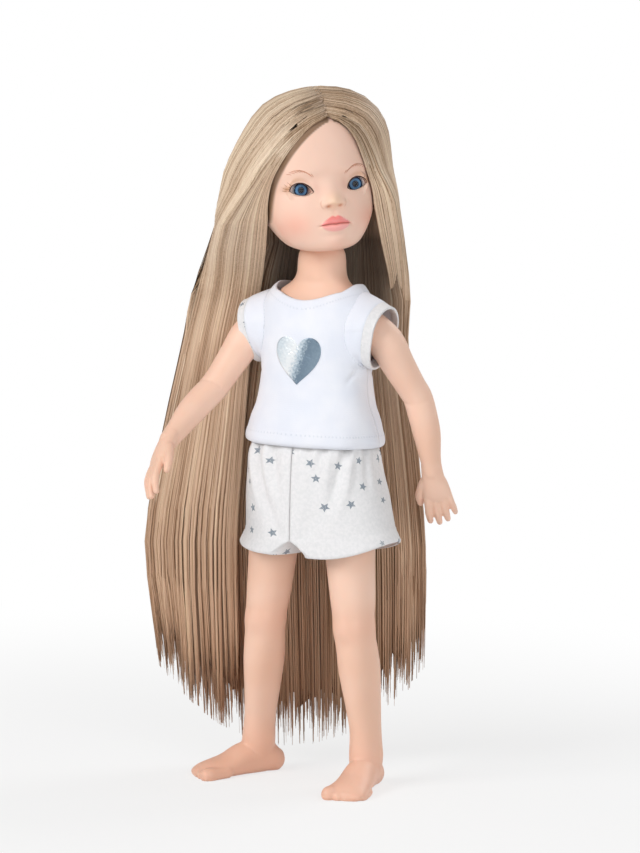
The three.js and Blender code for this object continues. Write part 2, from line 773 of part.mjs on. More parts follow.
// A snap-in stub on a joint face: its neck passes the wall's hole and its flange lies behind the wall.
function stub(face, axis, radius, flange, bore) {
  const depth = jointGap + bodyWall + pieceGap;
  const profile = [
    [0, 1.5], [radius, 1.5], [radius, -depth], [flange, -depth],
    [flange - 0.8, -depth - flangeThickness], [0, -depth - flangeThickness],
  ];
  const end = -depth - flangeThickness - 1;
  const hole = [[0, armFlangeRadius * 2], [bore, armFlangeRadius * 2], [bore, end], [0, end]];
  return { add: turned(profile, face, axis, 14), cut: turned(hole, face, axis, 8) };
}

// The hanging left arm about the shoulder pivot, cut flat at its joint face and hollow to the wrist.
function arm() {
  const axis = shoulderAxis(1);
  const face = V(0, 0, 0).addScaledVector(axis, -shoulderSeat);
  const joint = stub(face, axis, armStubRadius, armFlangeRadius, armStubRadius - limbWall);
  const hollow = limb(armStations().slice(1, 6), V(0, 1, 0), { steps: 5, sides: 7, grow: -limbWall });
  const inward = axis.clone().negate();
  const inside = hollow.subtract(beyond(face.clone().addScaledVector(axis, limbWall), inward));
  let made = union(armForm(), hand()).subtract(beyond(face, axis.clone().negate()));
  made = made.add(joint.add);
  return made.subtract(inside).subtract(joint.cut);
}

// Places what is built for the left shoulder on either side, turned to its swing.
function shoulderMatrix(side, swing) {
  const turn = new THREE.Matrix4().makeRotationAxis(shoulderAxis(1), swing * radians);
  const flip = new THREE.Matrix4().makeScale(side, 1, 1);
  const start = V(shoulderSpread, shoulderBack, shoulderPivotHeight);
  const put = new THREE.Matrix4().makeTranslation(start.x, start.y, start.z);
  return flip.multiply(put).multiply(turn);
}

// Moves a solid by a matrix that may mirror it.
function placed(made, matrix) {
  return closed(geometryOf(made).applyMatrix4(matrix));
}

// Leg: a full thigh, a calf that swells to the back, a foot with five toes, cut flat at the hip.
function legStations() {
  const slope = (ankleSpread - thighSpread) / (thighHeight - ankleHeight);
  const middle = (height, back) => V(thighSpread + slope * (thighHeight - height), back, height);
  const groin = (hipPivotHeight + thighHeight) / 2;
  const aboveKnee = (thighHeight + kneeHeight) / 2;
  const shin = (calfHeight + ankleHeight) / 2;
  const aboveAnkle = ankleHeight * 1.3;
  return [
    [V(legTopSpread, torsoBack, legTopHeight), thighHalfWidth * 0.81, thighHalfDepth * 1.04],
    [V(legTopSpread * 1.2, torsoBack, hipPivotHeight + legBowl), thighHalfWidth * 1.1, thighHalfDepth * 1.1],
    [middle(groin, torsoBack / 2), thighHalfWidth * 1.08, thighHalfDepth * 1.08],
    [middle(thighHeight, 0), thighHalfWidth, thighHalfDepth],
    [middle(aboveKnee, 0), thighHalfWidth * 0.93, thighHalfDepth * 0.96],
    [middle(kneeHeight, ankleBack * -0.13), kneeHalfWidth, kneeHalfDepth],
    [middle(calfHeight, ankleBack * 0.53), calfHalfWidth, calfHalfDepth],
    [middle(shin, ankleBack * 0.87), ankleHalfWidth * 1.03, calfHalfDepth * 0.9],
    [middle(aboveAnkle, ankleBack), ankleHalfWidth, ankleHalfDepth * 1.03],
    [V(ankleSpread, ankleBack, ankleHeight * 0.6), ankleHalfWidth * 1.12, ankleHalfDepth],
    [V(ankleSpread, ankleBack, ankleHeight / 4), ankleHalfWidth, ankleHalfDepth * 0.9],
  ];
}

// The left foot about its ankle, pointing to -Y: a wedge from heel to ball, and five toes.
function foot() {
  const toeLine = footLength - heelLength - 2 * toeRadius;
  const wedge = [
    [V(0, heelLength - 6, 6.2), 6.2, 6.2],
    [V(0, 2, 8), 7, 8],
    [V(0.2, -8, 7.6), 7.6, 7.8],
    [V(0.4, -17, 5.4), 8.4, 5.6],
    [V(0.6, -toeLine + 2, 3.7), footHalfWidth, 3.9],
    [V(0.6, -toeLine - 2, 3), footHalfWidth - 0.5, 3],
  ];
  const parts = [limb(wedge, V(1, 0, 0), { steps: 7, sides: 10 })];
  parts.push(ball(6.4, V(0, heelLength - 6, 6.3), 10, 6));
  const across = [-6.3, -1.9, 1.8, 5, 7.9];
  const sizes = [1.15, 0.9, 0.86, 0.8, 0.72];
  const back = [0, 0.2, 1, 2.4, 4.6];
  across.forEach((x, i) => {
    const r = toeRadius * sizes[i];
    const stretch = V(1, 1.75, 0.98);
    parts.push(ball(r, V(x, -toeLine - 1.6 + back[i], r * 0.98), 8, 5, stretch));
  });
  return union(...parts);
}

function leg(side) {
  const toeOut = side > 0 ? leftToeOut : rightToeOut;
  const axis = hipAxis(1);
  const face = hipPivot(1);
  const placeFoot = new THREE.Matrix4()
    .makeTranslation(ankleSpread, ankleBack, -soleFlat)
    .multiply(new THREE.Matrix4().makeRotationZ(toeOut * radians));
  const joint = stub(face, axis, legStubRadius, legFlangeRadius, legStubRadius - limbWall);
  const thigh = limb(legStations(), V(1, 0, 0), { steps: 14, sides: 14, domed: false });
  const hollow = limb(legStations().slice(1, 9), V(1, 0, 0), { steps: 7, sides: 7, grow: -limbWall });
  const inward = axis.clone().negate();
  const inside = hollow.subtract(beyond(face.clone().addScaledVector(axis, limbWall), inward));
  let made = union(thigh, placed(foot(), placeFoot));
  made = made.subtract(beyond(face, axis.clone().negate()));
  made = made.subtract(beyond(V(0, 0, 0), V(0, 0, -1)));
  made = made.add(joint.add).subtract(inside).subtract(joint.cut);
  const flip = new THREE.Matrix4().makeScale(side, 1, 1);
  return side > 0 ? made : placed(made, flip);
}

// The space that the arm sweeps as it turns about its shoulder, grown by a clearance.
function armSweep(side, clearance) {
  const axis = shoulderAxis(1);
  const face = -shoulderSeat - clearance;
  const form = armForm(clearance, 22, 16).getMesh();
  const cells = 36;
  const nearest = new Array(cells).fill(face + cells);
  for (let i = 0; i < form.numVert; i++) {
    const p = V(0, 0, 0).fromArray(form.vertProperties, i * form.numProp);
    const along = p.dot(axis);
    const out = Math.sqrt(Math.max(0, p.lengthSq() - along * along));
    const cell = Math.min(Math.floor(out), cells - 1);
    nearest[cell] = Math.min(nearest[cell], Math.max(along, face));
  }
  for (let i = cells - 2; i >= 0; i--) nearest[i] = Math.min(nearest[i], nearest[i + 1]);
  const profile = [[0, face]];
  for (let i = 9; i < cells; i += 2) profile.push([i + 1, nearest[i]]);
  profile.push([cells, cells], [0, cells]);
  const envelope = turned(profile, V(0, 0, 0), axis, 20);
  return placed(envelope, shoulderMatrix(side, 0));
}

// Knit top: level sections over the torso, with an open hem, neck and armholes.
const hemToWaist = (share) => hemHeight + (waistHeight - hemHeight) * share;
const topRows = [
  [hemToWaist(-0.02), topHemHalfWidth - 0.6, topHemHalfDepth - 0.6, torsoBack + 0.3],
  [hemToWaist(0.12), topHemHalfWidth, topHemHalfDepth, torsoBack + 0.3],
  [hemToWaist(0.46), topHemHalfWidth - 2, topHemHalfDepth - 1.6, torsoBack + 0.3],
  [hemToWaist(0.8), waistHalfWidth + topEase + 1.4, waistHalfDepth + topEase + 1, torsoBack + 0.3],
  [waistHeight + 6, waistHalfWidth + topEase + 0.1, waistHalfDepth + topEase, torsoBack + 0.3],
  [chestHeight - 6, chestHalfWidth + topEase - 0.2, chestHalfDepth + topEase, torsoBack + 0.3],
  [chestHeight + 5, chestHalfWidth + topEase, chestHalfDepth + topEase - 0.3, torsoBack + 0.3],
  [shoulderHeight + 3, chestHalfWidth + topEase - 0.4, chestHalfDepth + topEase - 1.6, torsoBack + 0.8],
  [shoulderHeight + 9.5, chestHalfWidth + topEase - 3.8, chestHalfDepth + topEase - 3.2, torsoBack + 1.6],
  [neckBaseHeight, neckRadius + topEase + 4, neckRadius + topEase - 0.4, neckBack - 0.6],
  [neckBaseHeight + 4, neckRadius + topEase, neckRadius + topEase - 1, neckBack],
];

const topForm = (grow, steps = 12, sides = 28) => solid(skinRings(levels(topRows, steps, sides, grow)));

function neckOpening(lowest, yFrom, yTo) {
  const shape = new THREE.Shape();
  const rim = neckBaseHeight - 3;
  shape.moveTo(-necklineHalfWidth, rim + farPast);
  shape.lineTo(-necklineHalfWidth, rim);
  shape.quadraticCurveTo(0, 2 * lowest - rim, necklineHalfWidth, rim);
  shape.lineTo(necklineHalfWidth, rim + farPast);
  const depth = yTo - yFrom;
  const cut = new THREE.ExtrudeGeometry(shape, { depth, bevelEnabled: false, curveSegments: 14 });
  cut.rotateX(Math.PI / 2).translate(0, yTo, 0);
  return closed(cut);
}

function knitTop() {
  const inner = levels(topRows, 12, 20, -knitThickness);
  inner.unshift(inner[0].map((p) => V(p.x, p.y, p.z - 5)));
  let made = topForm(0).subtract(solid(skinRings(inner)));
  made = made.subtract(neckOpening(necklineFront, -farPast, neckBack));
  made = made.subtract(neckOpening(necklineBack, neckBack - 1, farPast));
  for (const side of [1, -1]) {
    made = made.subtract(armSweep(side, jointGap));
    made = made.subtract(cuffSpace(side, side > 0 ? leftArmSwing : rightArmSwing));
  }
  return made;
}

// The armhole cuff: a band round the arm where it leaves the top, between two planes across the joint.
const cuffStart = -1.5;

function armBand(side, swing, near, far, from, to) {
  const axis = shoulderAxis(1);
  let band = armForm(far);
  if (near !== null) band = band.subtract(armForm(near));
  band = band.subtract(beyond(V(0, 0, 0).addScaledVector(axis, to), axis));
  band = band.subtract(beyond(V(0, 0, 0).addScaledVector(axis, from), axis.clone().negate()));
  return placed(band, shoulderMatrix(side, swing));
}

const cuff = (side, swing) =>
  armBand(side, swing, pieceGap, pieceGap + cuffThickness, cuffStart, cuffStart + cuffWidth);
const cuffSpace = (side, swing) =>
  armBand(side, swing, null, 2 * pieceGap + cuffThickness, cuffStart - pieceGap, cuffStart + cuffWidth + 20);

// Shorts, one half: rows of height, half width, half depth, how far from the centre seam the panels turn
// under, and where their inner edge lies. Above the crotch both lie on the seam.
const seam = pieceGap / 2;
const shortsRows = [
  [shortsHemHeight, shortsHemHalfWidth, shortsHemHalfDepth, shortsLegGap, shortsInseamGap],
  [
    shortsCrotchHeight - 2.2, shortsHipHalfWidth + 1.8, shortsHipHalfDepth - 0.6,
    shortsLegGap * 0.4, shortsInseamGap * 0.375,
  ],
  [shortsCrotchHeight, shortsHipHalfWidth + 1, shortsHipHalfDepth - 0.3, seam, seam],
  [shortsCrotchHeight + 9, shortsHipHalfWidth, shortsHipHalfDepth, seam, seam],
  [shortsHipHeight, shortsHipHalfWidth - 1, shortsHipHalfDepth, seam, seam],
  [shortsHipHeight + 11, shortsHipHalfWidth - 3, shortsHipHalfDepth - 0.3, seam, seam],
  [shortsFlatHeight, shortsWaistHalfWidth + 1.6, shortsWaistHalfDepth + 1, seam, seam],
  [shortsGatherHeight, shortsWaistHalfWidth - 0.2, shortsWaistHalfDepth - 0.2, seam, seam],
  [shortsTopHeight, shortsWaistHalfWidth - 1, shortsWaistHalfDepth - 0.6, seam, seam],
];

function shortsHalf(side) {
  const section = ([height, halfWidth, halfDepth, turn, edge], grow, arc, across, folds) => {
    const drop = (shortsFlatHeight - 2 - height) / (shortsFlatHeight - shortsCrotchHeight - 2);
    const low = Math.min(Math.max(drop, 0), 1);
    const wide = halfWidth + grow + side * shortsSkew * low;
    const deep = halfDepth + grow;
    const ring = [];
    for (let j = 0; j <= arc; j++) {
      const angle = (Math.PI * j) / arc;
      const s = Math.sin(angle) ** (2 / 2.3);
      const c = Math.sign(Math.cos(angle)) * Math.abs(Math.cos(angle)) ** (2 / 2.3);
      const fold = 1 + (folds * Math.sin(gatherCount * angle)) / halfWidth;
      ring.push(V(side * (turn + (wide - turn) * s * fold), torsoBack - deep * c * fold, height));
    }
    for (let j = 1; j < across; j++) {
      const angle = (Math.PI * j) / across;
      const under = turn - (turn - edge) * Math.sin(angle);
      ring.push(V(side * under, torsoBack + deep * Math.cos(angle), height));
    }
    return ring;
  };
  const gather = (height) => {
    const below = Math.min(Math.max((height - shortsCrotchHeight) / 26, 0), 1);
    return height > shortsGatherHeight + 1 ? 0 : gatherDepth * below;
  };
  const outer = shortsRows.map((row) => section(row, 0, 20, 5, gather(row[0])));
  const hollowRows = shortsRows.map(([height, wide, deep, turn, edge]) =>
    turn > seam ? [height, wide, deep, turn, edge + clothThickness] : [height, wide, deep, -3, -3]);
  const bridge = hollowRows[1];
  hollowRows[2] = [shortsCrotchHeight - 0.4, bridge[1], bridge[2], bridge[3], bridge[4]];
  hollowRows[3] = [shortsCrotchHeight + clothThickness, shortsHipHalfWidth + 1, shortsHipHalfDepth, -3, -3];
  hollowRows.unshift([shortsHemHeight - 3, ...hollowRows[0].slice(1)]);
  hollowRows.push([shortsTopHeight + 3, ...hollowRows.at(-1).slice(1)]);
  const hollow = hollowRows.map((row) => section(row, -clothThickness, 14, 4, gather(row[0])));
  return solid(skinRings(outer)).subtract(solid(skinRings(hollow)));
}

// One layer of the top's hook and loop closure, inside its centre back.
function closureTape(layer) {
  const outside = -knitThickness - layer * pieceGap - (layer - 1) * tapeThickness;
  const strip = topForm(outside).subtract(topForm(outside - tapeThickness));
  const low = [-closureWidth / 2, 0, hemHeight + closureEnds];
  return strip.intersect(block(low, [closureWidth / 2, farPast, necklineBack - closureEnds]));
}

// A band of cloth round the torso form between two heights and two offsets from the skin.
function torsoBand(low, high, near, far) {
  const outer = solid(skinRings(levels(torsoRows, 16, 22, far)));
  const inner = solid(skinRings(levels(torsoRows, 16, 22, near)));
  return outer.subtract(inner).intersect(block([-farPast, -farPast, low], [farPast, farPast, high]));
}

// Heart-shaped foil: the chest form's own surface cut by a heart's outline.
function foilPrint() {
  const heart = new THREE.Shape();
  const w = printWidth / 2;
  heart.moveTo(0, -w);
  heart.bezierCurveTo(w * 0.5, -w * 0.55, w, -w * 0.2, w, w * 0.35);
  heart.bezierCurveTo(w, w * 0.95, w * 0.25, w * 1.05, 0, w * 0.5);
  heart.bezierCurveTo(-w * 0.25, w * 1.05, -w, w * 0.95, -w, w * 0.35);
  heart.bezierCurveTo(-w, -w * 0.2, -w * 0.5, -w * 0.55, 0, -w);
  const stamp = new THREE.ExtrudeGeometry(heart, { depth: farPast, bevelEnabled: false, curveSegments: 6 });
  stamp.rotateX(Math.PI / 2).translate(0, 0, printHeight);
  const sheet = topForm(pieceGap + printThickness).subtract(topForm(pieceGap));
  return sheet.intersect(closed(stamp));
}

// Assembly.
piece("torso_shell", torso(), skinFinish());

const headGroup = new THREE.Group();
headGroup.applyMatrix4(headMatrix);
root.add(headGroup);
piece("head_shell", head(), skinFinish(), headGroup);
piece("hair_crown", hairCrown(), hairFinish(), headGroup);
for (const side of [1, -1]) {
  const name = side > 0 ? "left" : "right";
  const flatCut = eyeCentre(side).add(V(0, -eyeFlat, 0));
  const white = ball(eyeBallRadius, eyeCentre(side), 14, 10).subtract(beyond(flatCut, V(0, -1, 0)));
  const disc = [
    [0, eyeFlat + 0.05], [irisRadius, eyeFlat + 0.05],
    [irisRadius, eyeFlat + 0.05 + irisThickness], [0, eyeFlat + 0.05 + irisThickness],
  ];
  piece("eye_white_" + name, white, finish(0xf4f4f2, 0.25), headGroup);
  piece("iris_" + name, turned(disc, eyeCentre(side), V(0, -1, 0), 16), finish(0x6d97be, 0.4), headGroup);
  piece("eye_lens_" + name, lensDome(side), finish(0xffffff, 0.05), headGroup);
}

const fallNames = ["hair_fall_right", "hair_back_right", "hair_back_left", "hair_fall_left"];
fallNames.forEach((name, i) => piece(name, hairFall(-1 + i / 2, -0.5 + i / 2), hairFinish()));

for (const side of [1, -1]) {
  const name = side > 0 ? "left" : "right";
  const swing = side > 0 ? leftArmSwing : rightArmSwing;
  piece("arm_" + name, placed(arm(), shoulderMatrix(side, swing)), skinFinish());
  piece("leg_" + name, leg(side), skinFinish());
  piece("sleeve_cuff_" + name, cuff(side, swing), starClothFinish());
}

const top = knitTop();
const sideSeam = torsoBack + 0.3;
const half = pieceGap / 2;
piece("top_front", top.subtract(beyond(V(0, sideSeam - half, 0), V(0, 1, 0))), knitFinish());
const topBack = top.subtract(beyond(V(0, sideSeam + half, 0), V(0, -1, 0)));
piece("top_back_left", topBack.subtract(beyond(V(half, 0, 0), V(-1, 0, 0))), knitFinish());
piece("top_back_right", topBack.subtract(beyond(V(-half, 0, 0), V(1, 0, 0))), knitFinish());
piece("loop_tape", closureTape(1), finish(0xe6e8ea, 1));
piece("hook_tape", closureTape(2), finish(0xf1f2f4, 0.9));
piece("foil_print", foilPrint(), finish(0xb9c6d2, 0.3, 0.9));

piece("shorts_left", shortsHalf(1), starClothFinish());
piece("shorts_right", shortsHalf(-1), starClothFinish());
const elasticLow = shortsTopHeight - elasticHeight - 1;
piece(
  "waist_elastic",
  torsoBand(elasticLow, elasticLow + elasticHeight, pieceGap, pieceGap + elasticThickness),
  finish(0xf2f2ee, 0.8),
);

const box = new THREE.Box3().setFromObject(root, true);
const centre = box.getCenter(V(0, 0, 0));
root.position.set(-centre.x, -centre.y, -box.min.z);

export default root;
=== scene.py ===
# A jointed vinyl play doll, 32 cm tall, standing barefoot in knit nightwear with very long rooted hair.
# Shapes are worked out in millimetres about the doll's own origin, between its soles with its chest
# towards -Y and its left side at +X, and put into each mesh in metres in the part's frame.
import json
import math
import bpy
import numpy as np
from mathutils import Matrix, Vector


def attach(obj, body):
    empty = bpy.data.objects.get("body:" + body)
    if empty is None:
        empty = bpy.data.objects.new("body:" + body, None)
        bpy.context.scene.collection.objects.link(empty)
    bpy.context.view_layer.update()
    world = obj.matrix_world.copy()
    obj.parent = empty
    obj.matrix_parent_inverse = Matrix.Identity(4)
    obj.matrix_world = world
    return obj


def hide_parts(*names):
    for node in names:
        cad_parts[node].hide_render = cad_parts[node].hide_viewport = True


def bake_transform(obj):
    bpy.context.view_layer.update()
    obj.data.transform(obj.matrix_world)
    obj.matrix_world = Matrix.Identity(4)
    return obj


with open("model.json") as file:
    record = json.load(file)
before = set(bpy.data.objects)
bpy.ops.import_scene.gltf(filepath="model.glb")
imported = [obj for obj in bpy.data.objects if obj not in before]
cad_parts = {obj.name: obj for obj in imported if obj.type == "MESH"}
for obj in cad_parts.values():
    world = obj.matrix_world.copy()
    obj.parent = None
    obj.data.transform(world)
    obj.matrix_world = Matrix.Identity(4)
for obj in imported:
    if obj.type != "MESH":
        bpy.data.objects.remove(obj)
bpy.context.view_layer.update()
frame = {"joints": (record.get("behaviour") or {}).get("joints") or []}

# Table: white paper laid flat under two large soft lamps, with a camera at chest height a little to the
#  the doll's left. The paper looks plain white from the camera and from glossy pieces, and keeps the shadow.
MM = 0.001
joints = {joint["name"]: joint for joint in frame["joints"]}
neck_pivot = np.array([0, 4, 240.0])
doll_origin = np.array(joints["head_turn"]["pos_m"]) - neck_pivot * MM
photo_size = (640, 853)
pixels_per_mm = 2.19
view_turn = math.radians(30)
view_drop = math.radians(6)
view_roll = math.radians(1.22)
view_distance = 1400
towards_camera = np.array([math.sin(view_turn), -math.cos(view_turn), 0])
across_view = np.array([math.cos(view_turn), math.sin(view_turn), 0])


def place_at(point):
    """A point in doll millimetres as a Vector in the part's frame, in metres."""
    return Vector(np.asarray(point, float) * MM + doll_origin)


def aimed(kind, name, position, target, roll=0):
    """An object that looks from one point at another, turned about its own line of sight."""
    thing = bpy.data.objects.new(name, kind)
    bpy.context.scene.collection.objects.link(thing)
    start, end = place_at(position), place_at(target)
    turn = (end - start).to_track_quat("-Z", "Y").to_matrix().to_4x4()
    thing.matrix_world = Matrix.Translation(start) @ turn @ Matrix.Rotation(roll, 4, "Z")
    return thing


lens = bpy.data.cameras.new("camera")
lens.lens = pixels_per_mm * view_distance * lens.sensor_width / photo_size[1]
middle = 2.65 * across_view + np.array([0, 0, 164.2])
outwards = towards_camera * math.cos(view_drop) + np.array([0, 0, math.sin(view_drop)])
bpy.context.scene.camera = aimed(lens, "camera", middle + view_distance * outwards, middle, view_roll)


def lamp(name, position, target, size, power):
    """A square soft lamp of a size in metres and a power in watts."""
    light = bpy.data.lights.new(name, "AREA")
    light.size = size
    light.energy = power
    return aimed(light, name, position, target)


lamp("key_lamp", [-500, -1100, 900], [0, 0, 190], 0.7, 10.5)
lamp("fill_lamp", [1000, -700, 500], [0, 0, 160], 0.8, 4.2)
lamp("rim_lamp", [300, 900, 900], [0, 0, 200], 0.6, 4)
bpy.context.scene.view_settings.view_transform = "Standard"


class Wire:
    """One shader output, which can be added, multiplied and compared like a number."""

    def __init__(self, finish, socket):
        self.finish, self.socket = finish, socket

    def other(self, name):
        return Wire(self.finish, self.socket.node.outputs[name])

    def math(self, operation, *values):
        return self.finish.node("ShaderNodeMath", {"operation": operation}, dict(enumerate(values)))

    def __add__(self, value):
        return self.math("ADD", self, value)

    def __sub__(self, value):
        return self.math("SUBTRACT", self, value)

    def __mul__(self, value):
        return self.math("MULTIPLY", self, value)

    def __truediv__(self, value):
        return self.math("DIVIDE", self, value)

    def __pow__(self, value):
        return self.math("POWER", self, value)

    def __rsub__(self, value):
        return self.math("SUBTRACT", value, self)

    def __neg__(self):
        return self * -1

    __radd__ = __add__
    __rmul__ = __mul__

    def abs(self):
        return self.math("ABSOLUTE", self)

    def sin(self):
        return self.math("SINE", self)

    def within(self, low, high):
        """0 below low, 1 above high and a smooth rise between, or the other way round if high is lower."""
        settings = {"interpolation_type": "SMOOTHSTEP"}
        ends = {"Value": self, "From Min": low, "From Max": high}
        return self.finish.node("ShaderNodeMapRange", settings, ends)


class Finish:
    """A node material: one method makes any node, with its settings first and then its sockets."""

    def __init__(self, name):
        self.material = bpy.data.materials.new(name)
        self.material.use_nodes = True
        self.tree = self.material.node_tree
        self.tree.nodes.clear()

    def node(self, kind, settings=None, sockets=None, output=0):
        made = self.tree.nodes.new(kind)
        for key, value in (settings or {}).items():
            if key == "stops":
                while len(made.color_ramp.elements) < len(value):
                    made.color_ramp.elements.new(0.5)
                for element, (position, color) in zip(made.color_ramp.elements, value):
                    element.position = position
                    element.color = color
            else:
                setattr(made, key, value)
        for key, value in (sockets or {}).items():
            if isinstance(value, Wire):
                self.tree.links.new(value.socket, made.inputs[key])
            else:
                made.inputs[key].default_value = value
        return Wire(self, made.outputs[output]) if made.outputs else made

    def coordinates(self, kind="Object"):
        return self.node("ShaderNodeTexCoord", output=kind)

    def noise(self, vector, scale, detail=2.0, **sockets):
        sockets = {"Vector": vector, "Scale": scale, "Detail": detail, **sockets}
        return self.node("ShaderNodeTexNoise", {}, sockets)

    def stretched(self, vector, scale, turn=(0, 0, 0)):
        return self.node("ShaderNodeMapping", {}, {"Vector": vector, "Scale": scale, "Rotation": turn})

    def mixed(self, share, first, second, mode="MIX"):
        settings = {"data_type": "RGBA", "blend_type": mode}
        return self.node("ShaderNodeMix", settings, {0: share, 6: first, 7: second}, 2)

    def bumps(self, height, distance, strength=1.0):
        sockets = {"Height": height, "Distance": distance, "Strength": strength}
        return self.node("ShaderNodeBump", {}, sockets)

    def surface(self, sockets):
        shader = self.node("ShaderNodeBsdfPrincipled", {}, sockets)
        self.node("ShaderNodeOutputMaterial", {}, {"Surface": shader})
        return self.material


def paint(red, green, blue):
    """An sRGB colour of 0 to 255 as the linear one that Blender works in."""
    share = np.array([red, green, blue]) / 255
    linear = np.where(share <= 0.04045, share / 12.92, ((share + 0.055) / 1.055) ** 2.4)
    return (*map(float, linear), 1.0)


paper = Finish("white_paper")
seen = paper.node("ShaderNodeLightPath", output="Is Camera Ray")
seen = seen + seen.other("Is Glossy Ray") + seen.other("Is Transmission Ray")
ground = paper.coordinates()
distance = paper.node("ShaderNodeVectorMath", {"operation": "LENGTH"}, {0: ground}, "Value")
share = (distance.within(0.12, 0.5) * 0.32 + 0.68) * seen.math("MINIMUM", seen, 1.0)
dull = paper.node("ShaderNodeBsdfDiffuse", {}, {"Color": (0.86, 0.86, 0.86, 1)})
white = paper.node("ShaderNodeEmission", {}, {"Color": (1, 1, 1, 1), "Strength": 1.0})
mix = paper.node("ShaderNodeMixShader", {}, {0: share, 1: dull, 2: white})
paper.node("ShaderNodeOutputMaterial", {}, {"Surface": mix})
floor_mesh = bpy.data.meshes.new("floor")
floor_mesh.from_pydata([(-4, -4, 0), (4, -4, 0), (4, 4, 0), (-4, 4, 0)], [], [(0, 1, 2, 3)])
floor = bpy.data.objects.new("floor", floor_mesh)
bpy.context.scene.collection.objects.link(floor)
floor_mesh.materials.append(paper.material)

world = bpy.data.worlds.new("room")
bpy.context.scene.world = world
world.use_nodes = True
world.node_tree.nodes.clear()
room = Finish.__new__(Finish)
room.tree = world.node_tree
seen = room.node("ShaderNodeLightPath", output="Is Camera Ray")
seen = seen + seen.other("Is Transmission Ray")
soft = room.node("ShaderNodeBackground", {}, {"Color": (1, 1, 1, 1), "Strength": 0.36})
plain = room.node("ShaderNodeBackground", {}, {"Color": (1, 1, 1, 1), "Strength": 1.0})
mix = room.node("ShaderNodeMixShader", {}, {0: seen.math("MINIMUM", seen, 1.0), 1: soft, 2: plain})
room.node("ShaderNodeOutputWorld", {}, {"Surface": mix})

# Torso: a hollow shell of soft vinyl, rotocast in one piece with its neck, whose round top carries the head.
# It is flat where each arm and leg snaps on, and its colour is in the vinyl, with a fine matt grain.
shoulder_tilt = math.radians(12)
hip_tilt = math.radians(35)
shoulder_pivot = np.array([28, 1, 211.0])
hip_pivot = np.array([12.4, 1, 128.5])
shoulder_axis = np.array([math.cos(shoulder_tilt), 0, -math.sin(shoulder_tilt)])
hip_axis = np.array([math.cos(hip_tilt), 0, -math.sin(hip_tilt)])
shoulder_seat = 6.2
joint_gap = 0.35
neck_ball = 11
torso_rows = [
    # height, half width, half depth, middle in Y
    [114, 5, 8, 1],
    [117, 12, 12, 1],
    [123, 23, 16, 1],
    [130, 27, 17.5, 1],
    [145, 27, 17.5, 1],
    [160, 26, 16.7, 1],
    [173, 24.4, 15.5, 1],
    [186, 23.8, 15, 1],
    [198, 24.1, 14.7, 1],
    [209, 24.6, 14.4, 1],
    [219, 24, 13.1, 1.8],
    [225.5, 20.1, 11.1, 2.8],
    [230, 14, 10, 3.6],
    [234, 11.2, 10.6, 4],
    [240, 10.6, 10.6, 4],
]


def through(rows, shares):
    """A smooth curve through rows of numbers, read at shares 0 to 1 of its length: a Catmull-Rom cubic."""
    rows = np.asarray(rows, float)
    at = np.clip(shares, 0, 1) * (len(rows) - 1)
    i = np.minimum(at.astype(int), len(rows) - 2)
    t = (at - i).reshape(i.shape + (1,) * (rows.ndim - 1))
    p0, p1, p2, p3 = (rows[np.clip(i + k, 0, len(rows) - 1)] for k in (-1, 0, 1, 2))
    bend = (2 * p0 - 5 * p1 + 4 * p2 - p3) * t**2 + (3 * p1 - p0 - 3 * p2 + p3) * t**3
    return 0.5 * (2 * p1 + (p2 - p0) * t + bend)


def rounded(value, power):
    """A cosine or sine raised to 2 / power with its sign kept, which squares a circle off."""
    return np.sign(value) * np.abs(value) ** (2 / power)


def levels(rows, heights, angles, grow=0, power=2.3):
    """Level outlines: each a superellipse of the half width and depth read at its height, with the angle
    counted from the front towards the doll's left, grown outwards by a step."""
    rows = np.asarray(rows, float)
    dense = through(rows, np.linspace(0, 1, 600))
    width, depth, middle = (np.interp(heights, dense[:, 0], dense[:, k]) for k in (1, 2, 3))
    x = (width + grow) * rounded(np.sin(angles), power)
    y = middle - (depth + grow) * rounded(np.cos(angles), power)
    return np.stack(np.broadcast_arrays(x, y, heights), -1)


def grid_faces(rows, columns, wrap, start=0):
    """Corner indices of the squares of a grid of points, joined round its columns if it wraps."""
    i, j = np.meshgrid(np.arange(rows - 1), np.arange(columns if wrap else columns - 1), indexing="ij")
    k = (j + 1) % columns
    here, after = i * columns, (i + 1) * columns
    return start + np.stack([here + j, here + k, after + k, after + j], -1).reshape(-1, 4)


def loft(rings, start=0):
    """A closed skin over rings of equal length, each end closed by a fan about its middle point."""
    rows, columns = rings.shape[:2]
    points = np.concatenate([rings.reshape(-1, 3), rings[:1].mean(1), rings[-1:].mean(1)])
    j = np.arange(columns)
    k = (j + 1) % columns
    end = (rows - 1) * columns
    first = np.stack([np.full(columns, rows * columns), k, j], -1)
    last = np.stack([np.full(columns, rows * columns + 1), end + j, end + k], -1)
    return points, [grid_faces(rows, columns, True, start), first + start, last + start]


def outward(points, faces):
    """The same faces, turned round if the volume that they enclose comes out negative."""
    volume = sum(np.einsum("ij,ij->", points[f[:, 0]], np.cross(points[f[:, k]], points[f[:, k + 1]]))
                 for f in faces for k in range(1, f.shape[1] - 1))
    return [f[:, ::-1] for f in faces] if volume < 0 else faces


